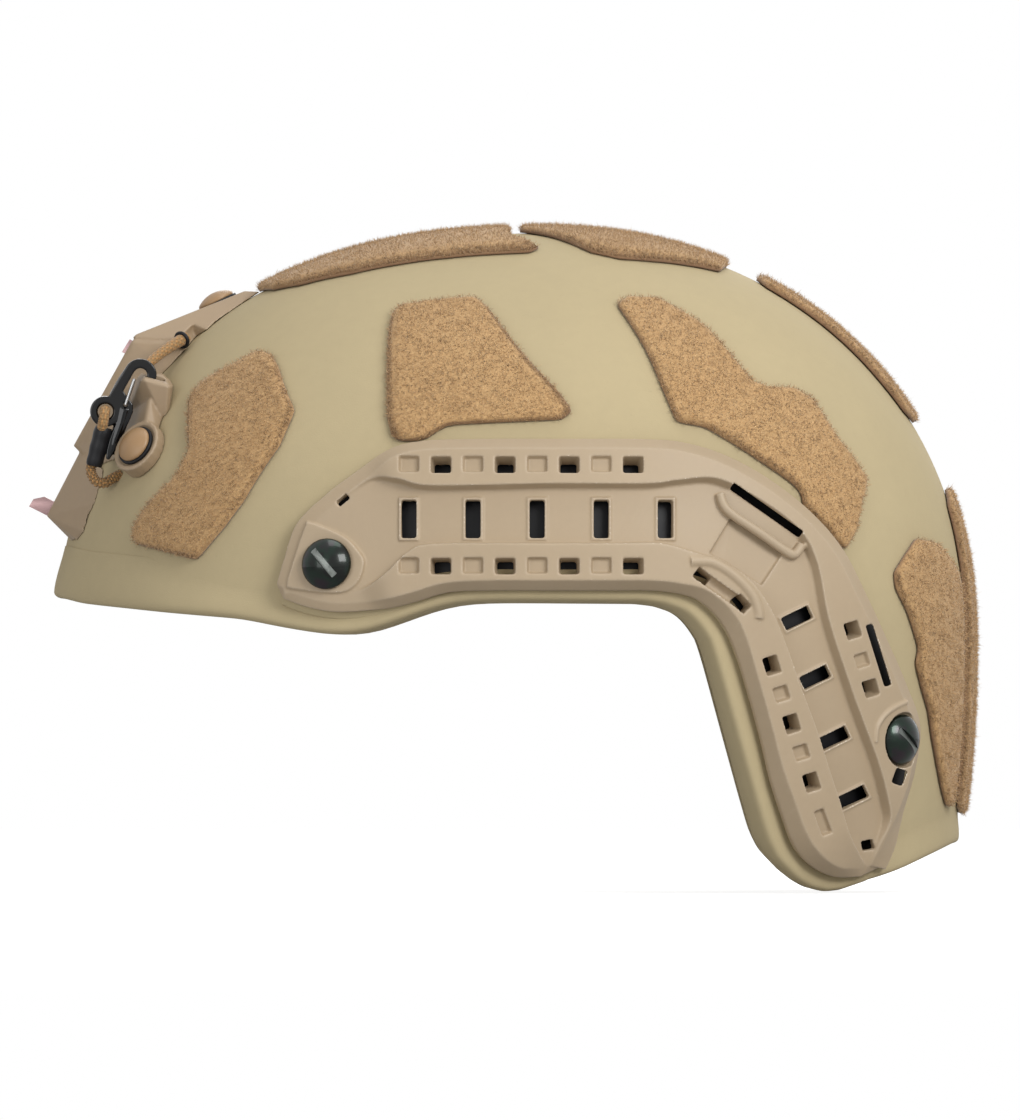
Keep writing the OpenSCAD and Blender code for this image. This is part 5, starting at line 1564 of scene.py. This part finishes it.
def piping(name, piece):
    """Cord sewn round the widest line of a cushion."""
    co = points_of(piece).astype(float) / MM
    middle = co.mean(0)
    flat = (co - middle) @ np.linalg.eigh(np.cov((co - middle).T))[1][:, 1:]
    angle, far = np.arctan2(flat[:, 1], flat[:, 0]), np.linalg.norm(flat, axis=1)
    line = []
    for bearing in np.linspace(0, 2 * math.pi, PIPING_STEPS, endpoint=False):
        near = np.cos(angle - bearing) > math.cos(2 * math.pi / PIPING_STEPS)
        line.append(co[np.argsort(np.where(near, far, -1))[-5:]].mean(0))
    line = np.array(line)
    for _ in range(4):
        line = (np.roll(line, 1, 0) + 2 * line + np.roll(line, -1, 0)) / 4
    return smooth(tube_round(name, line, PIPING_R, 10), 70)


class HELMET_OT_pads(bpy.types.Operator):
    """Sews the comfort pads: cloth that swells under pressure, with a piped seam"""
    bl_idname = "helmet.pads"
    bl_label = "Comfort pads"

    def execute(self, context):
        fabric = finish("Pad_fabric", hue("pad"), rough=0.92, grain=2200.0, depth=0.22, mottle=0.14,
                        specular=0.2, sheen=0.4)
        tape = finish("Pad_piping", paint("#2E2C25"), rough=0.85, grain=2600.0, depth=0.08, mottle=0.15,
                      sheen=0.3)
        for name in PADS:
            piece = copy_of(name, f"{name}_cushion")
            shape_with(piece, "REMESH", mode="VOXEL", voxel_size=make().pad_cell)
            shape_with(piece, "SMOOTH", factor=0.5, iterations=3)
            swell(piece, make().pad_frames)
            shape_with(piece, "SUBSURF", levels=1, render_levels=1)
            hold_off_wall(piece)
            smooth(piece)
            seat(piece, fabric, name)
            seat(piping(f"{name}_piping", piece), tape)
        return {"FINISHED"}


# Panel and main
STEPS = (HELMET_OT_stage, HELMET_OT_shell, HELMET_OT_rails, HELMET_OT_bolts, HELMET_OT_shroud,
         HELMET_OT_panels, HELMET_OT_cords, HELMET_OT_pads)


class HELMET_PT_dressing(bpy.types.Panel):
    """Lists the helmet's settings and its steps"""
    bl_idname = "HELMET_PT_dressing"
    bl_label = "Combat helmet"
    bl_space_type = "VIEW_3D"
    bl_region_type = "UI"
    bl_category = "Helmet"

    def draw(self, context):
        for group in (context.scene.helmet_colours, context.scene.helmet_make):
            for key in group.__annotations__:
                self.layout.prop(group, key)
        for step in STEPS:
            self.layout.operator(step.bl_idname)


CLASSES = (HelmetColours, HelmetMake, *STEPS, HELMET_PT_dressing)


def register():
    for cls in CLASSES:
        bpy.utils.register_class(cls)
    bpy.types.Scene.helmet_colours = PointerProperty(type=HelmetColours)
    bpy.types.Scene.helmet_make = PointerProperty(type=HelmetMake)


def unregister():
    del bpy.types.Scene.helmet_colours
    del bpy.types.Scene.helmet_make
    for cls in reversed(CLASSES):
        bpy.utils.unregister_class(cls)


def main():
    register()
    for step in STEPS:
        getattr(bpy.ops.helmet, step.bl_idname.split(".")[1])()


if __name__ == "__main__":
    main()
